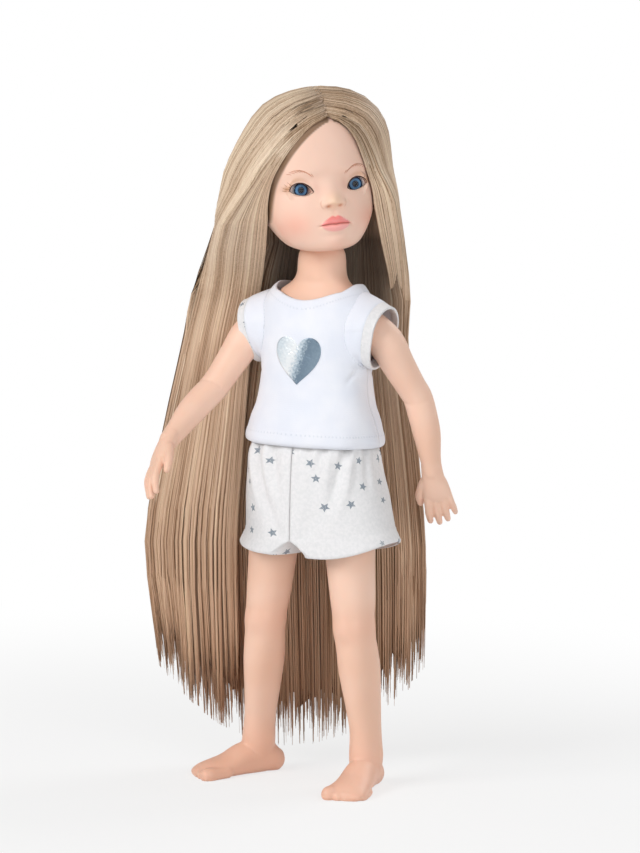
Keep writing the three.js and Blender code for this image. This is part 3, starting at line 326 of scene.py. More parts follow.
def make_piece(name, points, faces, finish, body=None, uv=None, tone=None, closed=True):
    """An object from points in doll millimetres and arrays of corner indices, with one uv or tone a point."""
    if closed:
        faces = outward(points, faces)
    mesh = bpy.data.meshes.new(name)
    corners = np.concatenate([f.ravel() for f in faces])
    sizes = np.concatenate([np.full(len(f), f.shape[1]) for f in faces])
    mesh.vertices.add(len(points))
    mesh.vertices.foreach_set("co", (points * MM + doll_origin).astype(np.float32).ravel())
    mesh.loops.add(len(corners))
    mesh.loops.foreach_set("vertex_index", corners.astype(np.int32))
    mesh.polygons.add(len(sizes))
    mesh.polygons.foreach_set("loop_start", np.concatenate([[0], np.cumsum(sizes)[:-1]]).astype(np.int32))
    mesh.update(calc_edges=True)
    mesh.polygons.foreach_set("use_smooth", np.ones(len(sizes), bool))
    if uv is not None:
        mesh.uv_layers.new(name="UVMap").data.foreach_set("uv", uv[corners].astype(np.float32).ravel())
    if tone is not None:
        layer = mesh.attributes.new("tone", "FLOAT_COLOR", "POINT")
        layer.data.foreach_set("color", tone.astype(np.float32).ravel())
    made = bpy.data.objects.new(name, mesh)
    bpy.context.scene.collection.objects.link(made)
    mesh.materials.append(finish)
    if body:
        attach(made, body)
    return made


def flattened(points, start, axis):
    """Points beyond a plane are drawn straight back onto it, which leaves a flat face there."""
    over = np.maximum((points - start) @ axis, 0)
    return points - over[..., None] * axis


skin = Finish("skin_vinyl")
skin_place = skin.coordinates()
cloudy = skin.noise(skin_place, 28.0, 2.0)
grain = skin.noise(skin_place, 2600.0, 2.0)
warm = skin.mixed(cloudy.within(0.3, 0.7), paint(243, 199, 174), paint(250, 210, 188))
height = skin.node("ShaderNodeSeparateXYZ", {}, {0: skin_place}, "Z")
low = height.within(0.034, 0.006) * 0.5 + ((height - 0.075) * 70).abs().within(1.0, 0.0) * 0.3
warm = skin.mixed(low, warm, paint(240, 180, 152))
skin_vinyl = skin.surface({
    "Base Color": warm,
    "Roughness": grain * 0.1 + 0.42,
    "Normal": skin.bumps(grain, 0.00004, 0.5),
    "Subsurface Weight": 0.12,
    "Subsurface Radius": (0.006, 0.003, 0.002),
    "Specular IOR Level": 0.4,
})

torso_heights = np.linspace(114, 240, 150)[:, None]
torso_angles = np.linspace(0, 2 * np.pi, 128, endpoint=False)[None, :]
torso = levels(torso_rows, torso_heights, torso_angles)
for side in (1, -1):
    mirror = np.array([side, 1, 1])
    seat = (shoulder_pivot - (shoulder_seat + joint_gap) * shoulder_axis) * mirror
    near_arm = (torso[..., 2] > 190) & (torso[..., 0] * side > 10)
    torso[near_arm] = flattened(torso[near_arm], seat, shoulder_axis * mirror)
    torso = flattened(torso, (hip_pivot - joint_gap * hip_axis) * mirror, hip_axis * mirror)
rise = np.radians(np.linspace(15, 89, 14))[:, None]
dome = np.stack(np.broadcast_arrays(
    neck_ball * np.cos(rise) * np.sin(torso_angles),
    neck_pivot[1] - neck_ball * np.cos(rise) * np.cos(torso_angles),
    neck_pivot[2] + neck_ball * np.sin(rise),
), -1)
torso_vinyl = make_piece("torso_vinyl", *loft(np.concatenate([torso, dome])), skin_vinyl, "torso")
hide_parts("torso_shell")

# Arms: hollow vinyl limbs with the hand moulded on, soft at the elbow and wrist. Each snaps into the torso's
# shoulder face and swings round it. The left arm hangs a little back, the right one a little forward.
elbow = np.array([14.7, 0, -37])
wrist = np.array([19, -9.7, -70.5])
arm_swing = {1: math.radians(31), -1: math.radians(-35)}
side_name = {1: "left", -1: "right"}
hand_axis = np.array([0.02, -0.14, -0.99])
hand_axis /= np.linalg.norm(hand_axis)
palm_facing = np.array([-0.55, 0.83, 0])
palm_facing -= palm_facing @ hand_axis * hand_axis
palm_facing /= np.linalg.norm(palm_facing)
thumb_side = np.cross(palm_facing, hand_axis)
palm_length, palm_breadth = 14, 6.4
finger_length, finger_radius = 15.5, 1.85


def limb(stations, side, steps, sides, grow=0, start=0):
    """A tube along a smooth path with rounded ends: stations hold a point, a half breadth across the given
    side and a half depth, read by a smooth curve; each end closes in three quarter turns of a dome."""
    stations = np.array([[*p, w, d] for p, w, d in stations])
    shares = np.linspace(0, 1, steps + 1)
    read = through(stations, shares)
    along = through(stations, np.minimum(shares + 0.01, 1))[:, :3]
    along = along - through(stations, np.maximum(shares - 0.01, 0))[:, :3]
    along /= np.linalg.norm(along, axis=1, keepdims=True)
    deep = np.cross(along, side)
    deep /= np.linalg.norm(deep, axis=1, keepdims=True)
    wide = np.cross(deep, along)
    turns = np.radians([30, 55, 75])
    shrink = np.concatenate([np.cos(turns[::-1]), np.ones(steps + 1), np.cos(turns)])
    push = np.concatenate([-np.sin(turns[::-1]), np.zeros(steps + 1), np.sin(turns)])
    pick = np.concatenate([[0, 0, 0], np.arange(steps + 1), [steps] * 3])
    read, along, deep, wide = read[pick], along[pick], deep[pick], wide[pick]
    reach = push * (np.minimum(read[:, 3], read[:, 4]) + grow)
    angle = np.linspace(0, 2 * np.pi, sides, endpoint=False)
    breadth = ((read[:, 3] + grow) * shrink)[:, None, None] * np.cos(angle)[None, :, None]
    depth = ((read[:, 4] + grow) * shrink)[:, None, None] * np.sin(angle)[None, :, None]
    centre = (read[:, :3] + along * reach[:, None])[:, None]
    return loft(centre + breadth * wide[:, None] + depth * deep[:, None], start)


def in_hand(down, to_thumb, to_palm):
    """A point of the hand: so far down from the wrist, towards the thumb and out of the palm."""
    return wrist + down * hand_axis + to_thumb * thumb_side + to_palm * palm_facing


def cast(name, parts, voxel, smooth):
    """Overlapping closed forms melted into one skin, as a mould makes them: a fine voxel remesh of all of
    them together, then a smooth that fills the creases between them. Gives its points and squares."""
    points, faces, count = [], [], 0
    for part_points, part_faces in parts:
        part_faces = outward(part_points, part_faces)
        points.append(part_points)
        faces += [f + count for f in part_faces]
        count += len(part_points)
    rough = make_piece(name, np.concatenate(points), faces, skin_vinyl, closed=False)
    melt = rough.modifiers.new("melt", "REMESH")
    melt.mode, melt.voxel_size = "VOXEL", voxel * MM
    soften = rough.modifiers.new("soften", "SMOOTH")
    soften.factor, soften.iterations = 0.5, smooth
    bpy.context.view_layer.update()
    ready = bpy.data.meshes.new_from_object(rough.evaluated_get(bpy.context.evaluated_depsgraph_get()))
    co = np.empty(len(ready.vertices) * 3)
    ready.vertices.foreach_get("co", co)
    normal = np.empty(len(ready.vertices) * 3)
    ready.vertices.foreach_get("normal", normal)
    corners = np.empty(len(ready.loops), int)
    ready.loops.foreach_get("vertex_index", corners)
    bpy.data.objects.remove(rough)
    return (co.reshape(-1, 3) - doll_origin) / MM, normal.reshape(-1, 3), [corners.reshape(-1, 4)]


def turned_about(points, axis, angle):
    """Points turned about an axis through the origin: Rodrigues' formula."""
    c, s = math.cos(angle), math.sin(angle)
    return points * c + np.cross(axis, points) * s + np.outer(points @ axis, axis) * (1 - c)


def near(points, centre, reach):
    """A soft spot: 1 at a centre, falling off as a bell curve with the distance."""
    return np.exp(-(((points - centre) ** 2).sum(-1)) / reach**2)


arm_stations = [
    (-(shoulder_seat + 3) * shoulder_axis, 8.7, 8.9),
    (-(shoulder_seat - 2.5) * shoulder_axis, 8.7, 8.9),
    (elbow * 0.2 + [2.6, 0, 0], 8.3, 8.7),
    (elbow * 0.5 + [1.6, 0, 0], 7.5, 7.7),
    (elbow * 0.82 + [0.4, 0.2, 0], 6.75, 6.9),
    (elbow, 6.7, 6.75),
    (elbow * 0.75 + wrist * 0.25 + [0.8, 0, 0], 6.7, 6.6),
    ((elbow + wrist) / 2 + [1, 0, 0], 6.35, 6.2),
    (elbow * 0.2 + wrist * 0.8 + [0.3, 0, 0], 5.2, 4.7),
    (wrist, 4.8, 4.0),
]
palm_stations = [
    (in_hand(-4, 0, 0), 4.7, 3.9),
    (in_hand(palm_length * 0.2, 0.4, 0.1), 5.2, 3.9),
    (in_hand(palm_length * 0.5, 0.2, 0.2), 6.0, 3.6),
    (in_hand(palm_length * 0.8, 0, 0.4), 6.4, 3.0),
    (in_hand(palm_length, -0.2, 0.8), 5.7, 2.3),
]
arm_forms = [limb(arm_stations, np.array([0, 1, 0]), 44, 36), limb(palm_stations, thumb_side, 16, 28)]
for i, share in enumerate([0.9, 1, 0.93, 0.74]):
    across = palm_breadth * (0.74 - 0.5 * i)
    length = finger_length * share
    radius = finger_radius * (0.88 if i == 3 else 1)
    arm_forms.append(limb([
        (in_hand(palm_length - 4, across * 0.96, 0.5), radius * 1.02, radius),
        (in_hand(palm_length + length * 0.12, across * 1.06, 0.8), radius * 1.04, radius * 1.04),
        (in_hand(palm_length + length * 0.38, across * 1.16, 1.3), radius * 0.94, radius * 0.95),
        (in_hand(palm_length + length * 0.5, across * 1.2, 1.8), radius * 0.97, radius * 1.0),
        (in_hand(palm_length + length * 0.72, across * 1.24, 3.2), radius * 0.88, radius * 0.88),
        (in_hand(palm_length + length * 0.93, across * 1.26, 5.2), radius * 0.76, radius * 0.78),
    ], thumb_side, 20, 18))
arm_forms.append(limb([
    (in_hand(2, 1.6, 0.2), 2.9, 2.6),
    (in_hand(5.5, 4.9, 1.1), 2.6, 2.45),
    (in_hand(9.4, 7.4, 2.2), 2.1, 2.1),
    (in_hand(12.6, 8.4, 3.1), 2.15, 2.0),
    (in_hand(16.6, 8.7, 4.2), 1.6, 1.5),
], thumb_side, 20, 18))
arm_points, arm_normals, arm_faces = cast("arm_form", arm_forms, 0.42, 7)
arm_points = flattened(arm_points, -shoulder_seat * shoulder_axis, -shoulder_axis)
crease = np.exp(-(((arm_points - elbow) @ hand_axis) / 0.8) ** 2)
crease = crease * (arm_points[:, 1] < -2) * near(arm_points, elbow, 9)
arm_points = arm_points - arm_normals * (0.35 * crease)[:, None]
for side in (1, -1):
    points = (turned_about(arm_points, shoulder_axis, arm_swing[side]) + shoulder_pivot) * [side, 1, 1]
    arm = make_piece("arm_vinyl_" + side_name[side], points, arm_faces, skin_vinyl, side_name[side] + "_arm")
    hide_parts("arm_" + side_name[side])

# Legs: hollow vinyl limbs with a full thigh, a dimpled knee, a calf that swells to the back, and a bare foot
# with five toes and a flat sole. Each snaps onto the slanting hip face and swings forwards to sit.
toe_out = {1: math.radians(10), -1: math.radians(25)}
ankle = np.array([28.8, 4, 0])
leg_slope = (28.8 - 20.6) / (104 - 20)


def leg_middle(height, back):
    """Where the leg's middle runs at a height: a straight line from the thigh out to the ankle."""
    return np.array([20.6 + leg_slope * (104 - height), back, height])


leg_stations = [
    (np.array([13.4, 1, 156]), 7.5, 11.5),
    (np.array([14, 1, 150]), 8.8, 12.5),
    (np.array([16.8, 1, 137.5]), 11.8, 13.6),
    (leg_middle(116, 0.5), 11.7, 13),
    (leg_middle(104, 0), 10.9, 12),
    (leg_middle(88, 0), 10, 11.5),
    (leg_middle(79, -0.4), 9.3, 10.9),
    (leg_middle(73, -0.5), 9.3, 10.9),
    (leg_middle(67, 0.3), 8.8, 10.9),
    (leg_middle(54, 2.1), 8.6, 12),
    (leg_middle(38, 3.5), 7.1, 10.8),
    (leg_middle(26, 4), 6.6, 9.3),
    (np.array([28.8, 4, 14]), 7.2, 9.4),
    (np.array([28.8, 4, 7]), 6.8, 8.8),
]
foot_stations = [
    (np.array([0, 7.5, 6.1]), 6.4, 6.4),
    (np.array([0, 2, 8]), 7, 8),
    (np.array([0.2, -8, 7.6]), 7.5, 7.8),
    (np.array([0.4, -17, 5.4]), 8.4, 5.6),
    (np.array([0.6, -26.8, 3.9]), 9.1, 4.1),
    (np.array([0.6, -30.6, 3]), 8.6, 3.0),
]
for side in (1, -1):
    turn = np.array([0, 0, 1.0])
    leg_forms = [limb(leg_stations, np.array([1, 0, 0]), 70, 44)]
    foot_forms = [limb(foot_stations, np.array([1, 0, 0]), 30, 32)]
    for x, size, back in zip([-6.3, -1.9, 1.8, 5, 7.9], [1.15, 0.9, 0.86, 0.8, 0.72], [0, 0.2, 1, 2.4, 4.6]):
        radius = 3.1 * size
        tip = -28.8 + back
        foot_forms.append(limb([
            (np.array([x * 0.92, tip + 7.5, radius * 1.05 + 0.2]), radius * 0.94, radius * 0.9),
            (np.array([x, tip + 2, radius * 1.02]), radius * 0.92, radius * 0.86),
            (np.array([x, tip - 2.2, radius * 0.98]), radius * 1.0, radius * 0.98),
            (np.array([x, tip - 2.6 - radius * 0.3, radius * 0.96]), radius * 0.96, radius * 0.95),
        ], np.array([1, 0, 0]), 14, 18))
    for form_points, form_faces in foot_forms:
        leg_forms.append((turned_about(form_points, turn, toe_out[side]) + ankle - [0, 0, 1.2], form_faces))
    points, normals, faces = cast("leg_form", leg_forms, 0.5, 6)
    knee = leg_middle(73, -11.5)
    dents = 0.5 * near(points, knee + [-4.2, 1, 5], 3.6) + 0.5 * near(points, knee + [4.2, 1, 5], 3.6)
    dents += 0.45 * near(points, knee + [0, 0, -7], 4.5) - 0.55 * near(points, knee, 4.8)
    bones = near(points, ankle + [-7, 0, 17], 3.2) + near(points, ankle + [7, 1.2, 15.5], 3.2)
    points = points + normals * (0.7 * bones - dents)[:, None]
    points = flattened(points, hip_pivot, -hip_axis)
    points = flattened(points, np.zeros(3), np.array([0, 0, -1.0]))
    leg = make_piece("leg_vinyl_" + side_name[side], points * [side, 1, 1], faces, skin_vinyl,
                     side_name[side] + "_leg")
    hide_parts("leg_" + side_name[side])

# Head: a hollow vinyl head cast in one piece with its ears and lids, seated on the round top of the neck.
# It is painted by hand: lips, blush, a golden shadow over each lid, and the scalp tinted like the hair.
head_height = 76.6
eye_centre = np.array([12.6, -18.6, 35.2])
eye_radius, iris_radius, dome_radius, dome_rise = 6.6, 3.4, 3.7, 1.7
iris_level = eye_centre[1] - math.sqrt(eye_radius**2 - iris_radius**2)
mouth_width = 7.4
face_place = np.array([0.6, 0, -2.6])
turns = [(44.5, "Z"), (-7.3, "Y"), (-3.4, "X")]
head_lean = np.array(Matrix.Rotation(math.radians(turns[0][0]), 3, "Z")
                     @ Matrix.Rotation(math.radians(turns[1][0]), 3, "Y")
                     @ Matrix.Rotation(math.radians(turns[2][0]), 3, "X"))
head_rows = np.array([
    # front height, back height, half width, front depth, back depth, all from the neck's turning point
    [6, 8, 2, 2, 2],
    [5.6, 9.5, 10, 11, 10],
    [4.2, 12.5, 14.5, 20, 14],
    [4.8, 16.5, 17.4, 26, 18],
    [7.8, 20.5, 20.2, 28.8, 22],
    [12.5, 24.5, 23, 30, 26],
    [18.5, 28, 25.3, 30.2, 29.5],
    [27.6, 31, 26.9, 30.2, 33],
    [35.5, 37, 28, 28.7, 34],
    [43.5, 44.5, 28.8, 29.8, 34.2],
    [53, 53, 28.3, 29, 32.5],
    [62.6, 62.6, 25, 25.3, 28.5],
    [70.6, 70.6, 18, 18.3, 20],
    [75.3, 75.3, 9, 9, 10],
    [76.6, 76.6, 1, 1, 1],
])


def hill(x, z, centre_x, centre_z, wide, tall):
    return np.exp(-(((x - centre_x) / wide) ** 2) - ((z - centre_z) / tall) ** 2)


def smooth(value, low=0.0, high=1.0):
    t = np.clip((value - low) / (high - low), 0, 1)
    return t * t * (3 - 2 * t)


def lid_lines(x):
    """Heights of the upper and lower lid's edge at a distance from the face's middle: two arches between
    the inner and the outer corner, the upper one fuller, on a line that rises outwards."""
    t = np.clip((np.abs(x) - 7.9) / 9.8, 0, 1)
    arch = 4 * t * (1 - t)
    line = 33.7 + 1.6 * t
    return line + 3.85 * arch**0.6, line - 1.85 * arch**0.8


def lip_lines(x):
    """Heights of the upper lip's bow, the mouth's line and the lower lip's edge across the mouth."""
    t = np.clip(np.abs(x) / mouth_width, 0, 1)
    bow = 18.3 + 4.4 * (1 - t**1.55) - 0.75 * np.exp(-((x / 0.9) ** 2))
    line = 18.75 - 0.45 * t**2 - 0.25 * np.exp(-((x / 1.3) ** 2))
    low = 18.3 - 3.05 * np.sqrt(np.clip(1 - (x / 6.4) ** 2, 0, 1))
    return bow, line, low


def face_relief(x, z):
    """How far the face stands out in front: a sum of soft hills and hollows for brow, nose, cheeks and chin,
    and two pillows for the lips, which swell between their edge and the mouth's line."""
    x, z = x - face_place[0], z - face_place[2]
    a = np.abs(x)
    tip = np.where(z < 28.4, 2.2, 3.7)
    out = 4.1 * np.exp(-((x / 3.9) ** 2) - ((z - 28.4) / tip) ** 2)
    out += 0.7 * hill(x, z, 0, 35.5, 4, 5)
    out += 1.3 * hill(a, z, 4.3, 27.7, 2.0, 1.8)
    out -= 1.0 * hill(a, z, 2.5, 26.4, 0.95, 0.6)
    out -= 0.35 * hill(a, z, 5.9, 27.6, 0.7, 2.0)
    out += 1.5 * hill(x, z, 0, 19.2, 6.6, 4.6) - 0.3 * hill(x, z, 0, 24.2, 0.9, 1.5)
    out += 1.1 * hill(a, z, 13.5, 19.5, 6, 6) + 1.5 * hill(x, z, 0, 9, 6, 4.5)
    out -= 0.55 * hill(x, z, 0, 13.6, 5, 1.3)
    out -= 1.1 * hill(a, z, 12.6, 35.4, 6.2, 4.2) - 0.7 * hill(a, z, 10.5, 42.4, 8, 2.8)
    bow, line, low = lip_lines(x)
    edge = np.sqrt(np.clip(1 - (a / mouth_width) ** 2, 0, 1))
    above = np.clip((z - line) / np.maximum(bow - line, 0.05), 0, 1)
    below = np.clip((line - z) / np.maximum(line - low, 0.05), 0, 1)
    out += edge * (0.95 * np.sin(np.pi * above**0.85) ** 0.8 + 1.15 * np.sin(np.pi * below**0.9) ** 0.8)
    out -= 0.75 * np.exp(-(((z - line) / 0.3) ** 2)) * smooth(a, mouth_width + 0.6, mouth_width - 1)
    out -= 0.4 * hill(a, z, mouth_width, 18.2, 0.9, 0.8)
    return out


def head_form(share, angle, grow=0, swell=None, relief=1):
    """The head at a share of its rows and an angle from its front: a superellipse whose plane tips from the
    front height to the back height. Grow moves it straight out and swell stands hair off it sideways."""
    share, angle = np.broadcast_arrays(share, angle)
    z_front, z_back, half, front, back = np.moveaxis(through(head_rows, share), -1, 0)
    c, s = np.cos(angle), np.sin(angle)
    x = half * rounded(s, 2.15)
    y = -np.where(c > 0, front, back) * rounded(c, 2.15)
    z = z_back + (z_front - z_back) * (1 + c) / 2
    if relief:
        y = y - face_relief(x, z) * np.clip(2 * c, 0, 1)
    out = np.stack([x, y, z - head_height / 2], -1)
    length = np.linalg.norm(out, axis=-1, keepdims=True)
    made = out * (1 + grow / length) + [0, 0, head_height / 2]
    if swell is not None:
        aside = np.stack([x, np.where(c > 0, 0.25 * y, y), np.maximum(0, out[..., 2])], -1)
        made += aside / np.linalg.norm(aside, axis=-1, keepdims=True) * swell(angle, z)[..., None]
    return made


def from_head(points):
    """Points of the head's own axes, turned and leaned as it sits on the neck."""
    return points @ head_lean.T + neck_pivot


def lidded(points):
    """The face drawn forward where it has to pass over the eyeball and its clear dome, as a lid does."""
    x, y, z = np.moveaxis(points, -1, 0)
    out = np.hypot(np.abs(x - face_place[0]) - eye_centre[0], z - face_place[2] - eye_centre[2])
    ball = eye_centre[1] - np.sqrt(np.clip(eye_radius**2 - out**2, 0, None))
    dome = iris_level - dome_rise * np.sqrt(np.clip(1 - (out / dome_radius) ** 2, 0, None))
    front = np.where(out < eye_radius - 0.4, np.minimum(ball, dome) - 0.45, 0)
    gap = 0.25 * np.logaddexp((-y) / 0.25, (-front) / 0.25)
    reach = smooth(out, 7.6, 5.4) * (y < -12)
    return np.stack([x, y + (-gap - y) * reach, z], -1)


def on_face(x, z, lift=0.0):
    """Points of the face at places across and up it, found by Newton steps on share and angle."""
    x, z = np.broadcast_arrays(x + face_place[0], z + face_place[2])
    front_heights = np.interp(np.linspace(0.22, 0.9, 300), np.linspace(0, 1, 15), head_rows[:, 0])
    share = np.interp(z, front_heights, np.linspace(0.22, 0.9, 300))
    angle = np.arcsin(np.clip(x / 28, -0.95, 0.95))
    for _ in range(7):
        here = head_form(share, angle)
        up = (head_form(share + 1e-4, angle) - here) / 1e-4
        aside = (head_form(share, angle + 1e-4) - here) / 1e-4
        miss_x, miss_z = x - here[..., 0], z - here[..., 2]
        area = aside[..., 0] * up[..., 2] - up[..., 0] * aside[..., 2]
        angle = angle + np.clip((miss_x * up[..., 2] - up[..., 0] * miss_z) / area, -0.2, 0.2)
        step = (aside[..., 0] * miss_z - aside[..., 2] * miss_x) / area
        share = np.clip(share + np.clip(step, -0.05, 0.05), 0.1, 0.95)
    found = lidded(head_form(share, angle))
    outward_way = found * [1, 1, 0]
    return found + lift * outward_way / np.linalg.norm(outward_way, axis=-1, keepdims=True)


row_counts = [4, 5, 6, 10, 18, 24, 34, 30, 26, 18, 14, 9, 7, 4]
head_shares = [np.linspace(i, i + 1, n, endpoint=False) for i, n in enumerate(row_counts)]
head_shares = np.concatenate(head_shares + [[14]]) / 14
even = np.linspace(0, 2 * np.pi, 400, endpoint=False)
head_angles = even - 0.62 * np.sin(even)
face = lidded(head_form(head_shares[:, None], head_angles[None, :]))
x, y, z = np.moveaxis(face, -1, 0)
beside, above = np.abs(x - face_place[0]), z - face_place[2]
upper, lower = lid_lines(beside)
in_eye = np.minimum(above - lower, upper - above) * (beside > 7.9) * (beside < 17.7) * (y < -12)
face[..., 1] += 4.2 * np.clip(in_eye / 0.4, 0, 1)
ear = np.exp(-(((y - 2) / 3.4) ** 2) - ((z - 27) / 6.2) ** 4) * (np.abs(x) > 20)
ear_hollow = np.exp(-(((y - 1.4) / 1.5) ** 2) - ((z - 28.5) / 3.4) ** 2) * (np.abs(x) > 20)
face[..., 0] += np.sign(x) * (2.6 * ear - 1.1 * ear_hollow)
reach = np.linalg.norm(face, axis=-1, keepdims=True)
face = face * np.maximum(1, (neck_ball + joint_gap) / np.maximum(reach, 1))

skin_tint = np.array(paint(246, 207, 187)[:3])


def tinted(colors, share, red, green, blue):
    return colors + (np.array(paint(red, green, blue)[:3]) - colors) * share[..., None]


def painted_face(points):
    """The face's colours: airbrushed spots as soft hills, besides a painted highlight on the nose's tip and
    painted shade under the chin and round the nose's wings, and lips between their lines with soft edges.
    """
    x, y, z = np.moveaxis(points - face_place, -1, 0)
    a = np.abs(x)
    in_front = smooth(y, -8, -14)
    colors = np.broadcast_to(skin_tint, points.shape)
    # painted shade: the skin turns darker and warmer towards the chin's underside
    colors = tinted(colors, 0.5 * smooth(z, 12, 4), 228, 172, 142)
    colors = tinted(colors, 0.46 * hill(a, z, 18, 19.5, 6.6, 5.6) * in_front, 240, 152, 128)
    colors = tinted(colors, 0.3 * hill(x, z, 0, 8.5, 5, 3.4) * in_front, 240, 172, 144)
    # painted highlight: a pale golden spot on the nose's tip
    colors = tinted(colors, 0.45 * hill(x, z, 0, 28.6, 4.2, 3.2) * in_front, 252, 214, 172)
    upper, lower = lid_lines(x)
    outer_half = smooth(a, 8.5, 15)
    crease = np.exp(-(((z - upper - 1.5) / 1.0) ** 2)) * smooth(a, 6.5, 10) * smooth(a, 20.5, 17)
    colors = tinted(colors, 0.42 * crease * in_front * (0.4 + 0.6 * outer_half), 205, 150, 98)
    colors = tinted(colors, 0.6 * hill(a, z, 18.6, 36.2, 1.9, 1.4) * in_front, 184, 120, 66)
    colors = tinted(colors, 0.35 * hill(a, z, 6.4, 35.5, 1.6, 3.0) * in_front, 214, 158, 140)
    colors = tinted(colors, 0.75 * hill(a, z, 2.75, 26.7, 1.15, 0.62) * in_front, 196, 106, 56)
    # painted shade: a brownish ring in the crease round each nose wing
    rim = np.hypot((a - 4.1) / 1.0, (z - 27.9) / 1.25)
    crease = np.exp(-(((rim - 1.75) / 0.2) ** 2)) * smooth(a, 4.2, 5.4) * smooth(z, 30.4, 28.6)
    colors = tinted(colors, 0.5 * crease * in_front, 206, 142, 108)
    bow, line, low = lip_lines(x)
    lips = smooth(z, low - 0.3, low + 0.6) * smooth(z, bow + 0.4, bow - 0.5) * smooth(a, 7.2, 6.2) * in_front
    top = smooth(z, line - 0.1, line + 0.2)
    colors = tinted(colors, 0.9 * lips * top, 244, 130, 128)
    colors = tinted(colors, 0.85 * lips * (1 - top), 254, 166, 162)
    slit = np.exp(-(((z - line) / 0.24) ** 2)) * smooth(a, 7.7, 6.6) * in_front
    colors = tinted(colors, 0.75 * slit, 176, 84, 70)
    rise = np.clip((z - 24) / 40, 0, 1)
    hairline = 23.5 * np.clip(1 - rise**2.3, 0, 1) ** 0.75
    beside = np.abs(x - 4.5 * rise**2)
    scalp = np.maximum(smooth(beside, hairline + 0.2, hairline + 1.6), smooth(z, 65, 67))
    scalp = np.where(z > 22, scalp, 0) * (1 - 0.9 * ear)
    colors = tinted(colors, np.maximum(scalp, smooth(y, -4, 4) * (z > 24) * (1 - ear)), 132, 100, 72)
    return np.concatenate([colors, lips[..., None]], -1)


vinyl = Finish("face_vinyl")
skin_place = vinyl.coordinates()
painted = vinyl.node("ShaderNodeVertexColor", {"layer_name": "tone"}, {}, "Color")
gloss = painted.other("Alpha")
grain = vinyl.noise(skin_place, 2600.0, 2.0)
cloudy = vinyl.noise(skin_place, 55.0, 2.0)
flush = vinyl.mixed(cloudy.within(0.3, 0.75) * 0.12, painted, paint(255, 226, 210))
face_vinyl = vinyl.surface({
    "Base Color": flush,
    "Roughness": 0.44 - gloss * 0.24 + grain * 0.06,
    "Normal": vinyl.bumps(grain, 0.00003, 0.4),
    "Coat Weight": gloss * 0.6,
    "Coat Roughness": 0.12,
    "Subsurface Weight": 0.12,
    "Subsurface Radius": (0.006, 0.003, 0.002),
    "Specular IOR Level": 0.4,
})
tone = painted_face(np.stack([x, y, z], -1)).reshape(-1, 4)
points, faces = loft(face)
tone = np.concatenate([tone, tone[:1], tone[-1:]])
head = make_piece("head_vinyl", from_head(points), faces, face_vinyl, "head", tone=tone)
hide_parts("head_shell")


def strands(paths, across, lifts, widths, depths, sides=3):
    """Many thin closed fibres at once. Each follows its path of points, with a flattened section of a few
    corners: so wide along its across direction and so deep along its lift direction at each point."""
    count, steps = paths.shape[:2]
    turn = np.linspace(0, 2 * np.pi, sides, endpoint=False) + np.pi / 2
    section = across[:, :, None] * (widths[..., None] * np.cos(turn))[..., None]
    section = section + lifts[:, :, None] * (depths[..., None] * np.sin(turn))[..., None]
    points = (paths[:, :, None] + section).reshape(-1, 3)
    i, j, k = np.meshgrid(np.arange(count), np.arange(steps - 1), np.arange(sides), indexing="ij")
    a = (i * steps + j) * sides + k
    b = (i * steps + j) * sides + (k + 1) % sides
    walls = np.stack([a, b, b + sides, a + sides], -1).reshape(-1, 4)
    first = (np.arange(count) * steps * sides)[:, None]
    caps = np.concatenate([first + np.arange(sides)[::-1], first + (steps - 1) * sides + np.arange(sides)])
    return points, [walls, caps]


def unit(vectors):
    return vectors / np.maximum(np.linalg.norm(vectors, axis=-1, keepdims=True), 1e-9)


def face_lines(name, places, widths, finish, lift=0.02):
    """Fine painted lines that stand a hair's breadth off the face: paths of places across and up it."""
    path = on_face(places[..., 0], places[..., 1], lift)
    along = unit(np.gradient(path, axis=1))
    out = unit(path * [1, 1, 0.35])
    across = unit(np.cross(along, out))
    points, faces = strands(path, across, out, widths, np.minimum(widths, 0.06), 4)
    made = make_piece(name, from_head(points), faces, finish, "head")
    return made


def line_finish(name, color):
    """A matt brushed paint, a little uneven along its strokes."""
    coat = Finish(name)
    patchy = coat.noise(coat.coordinates(), 900.0, 3.0)
    lighter = tuple(min(1.0, c * 1.35 + 0.02) for c in color[:3]) + (1.0,)
    return coat.surface({"Base Color": coat.mixed(patchy.within(0.35, 0.7), color, lighter),
                         "Roughness": patchy * 0.2 + 0.4})


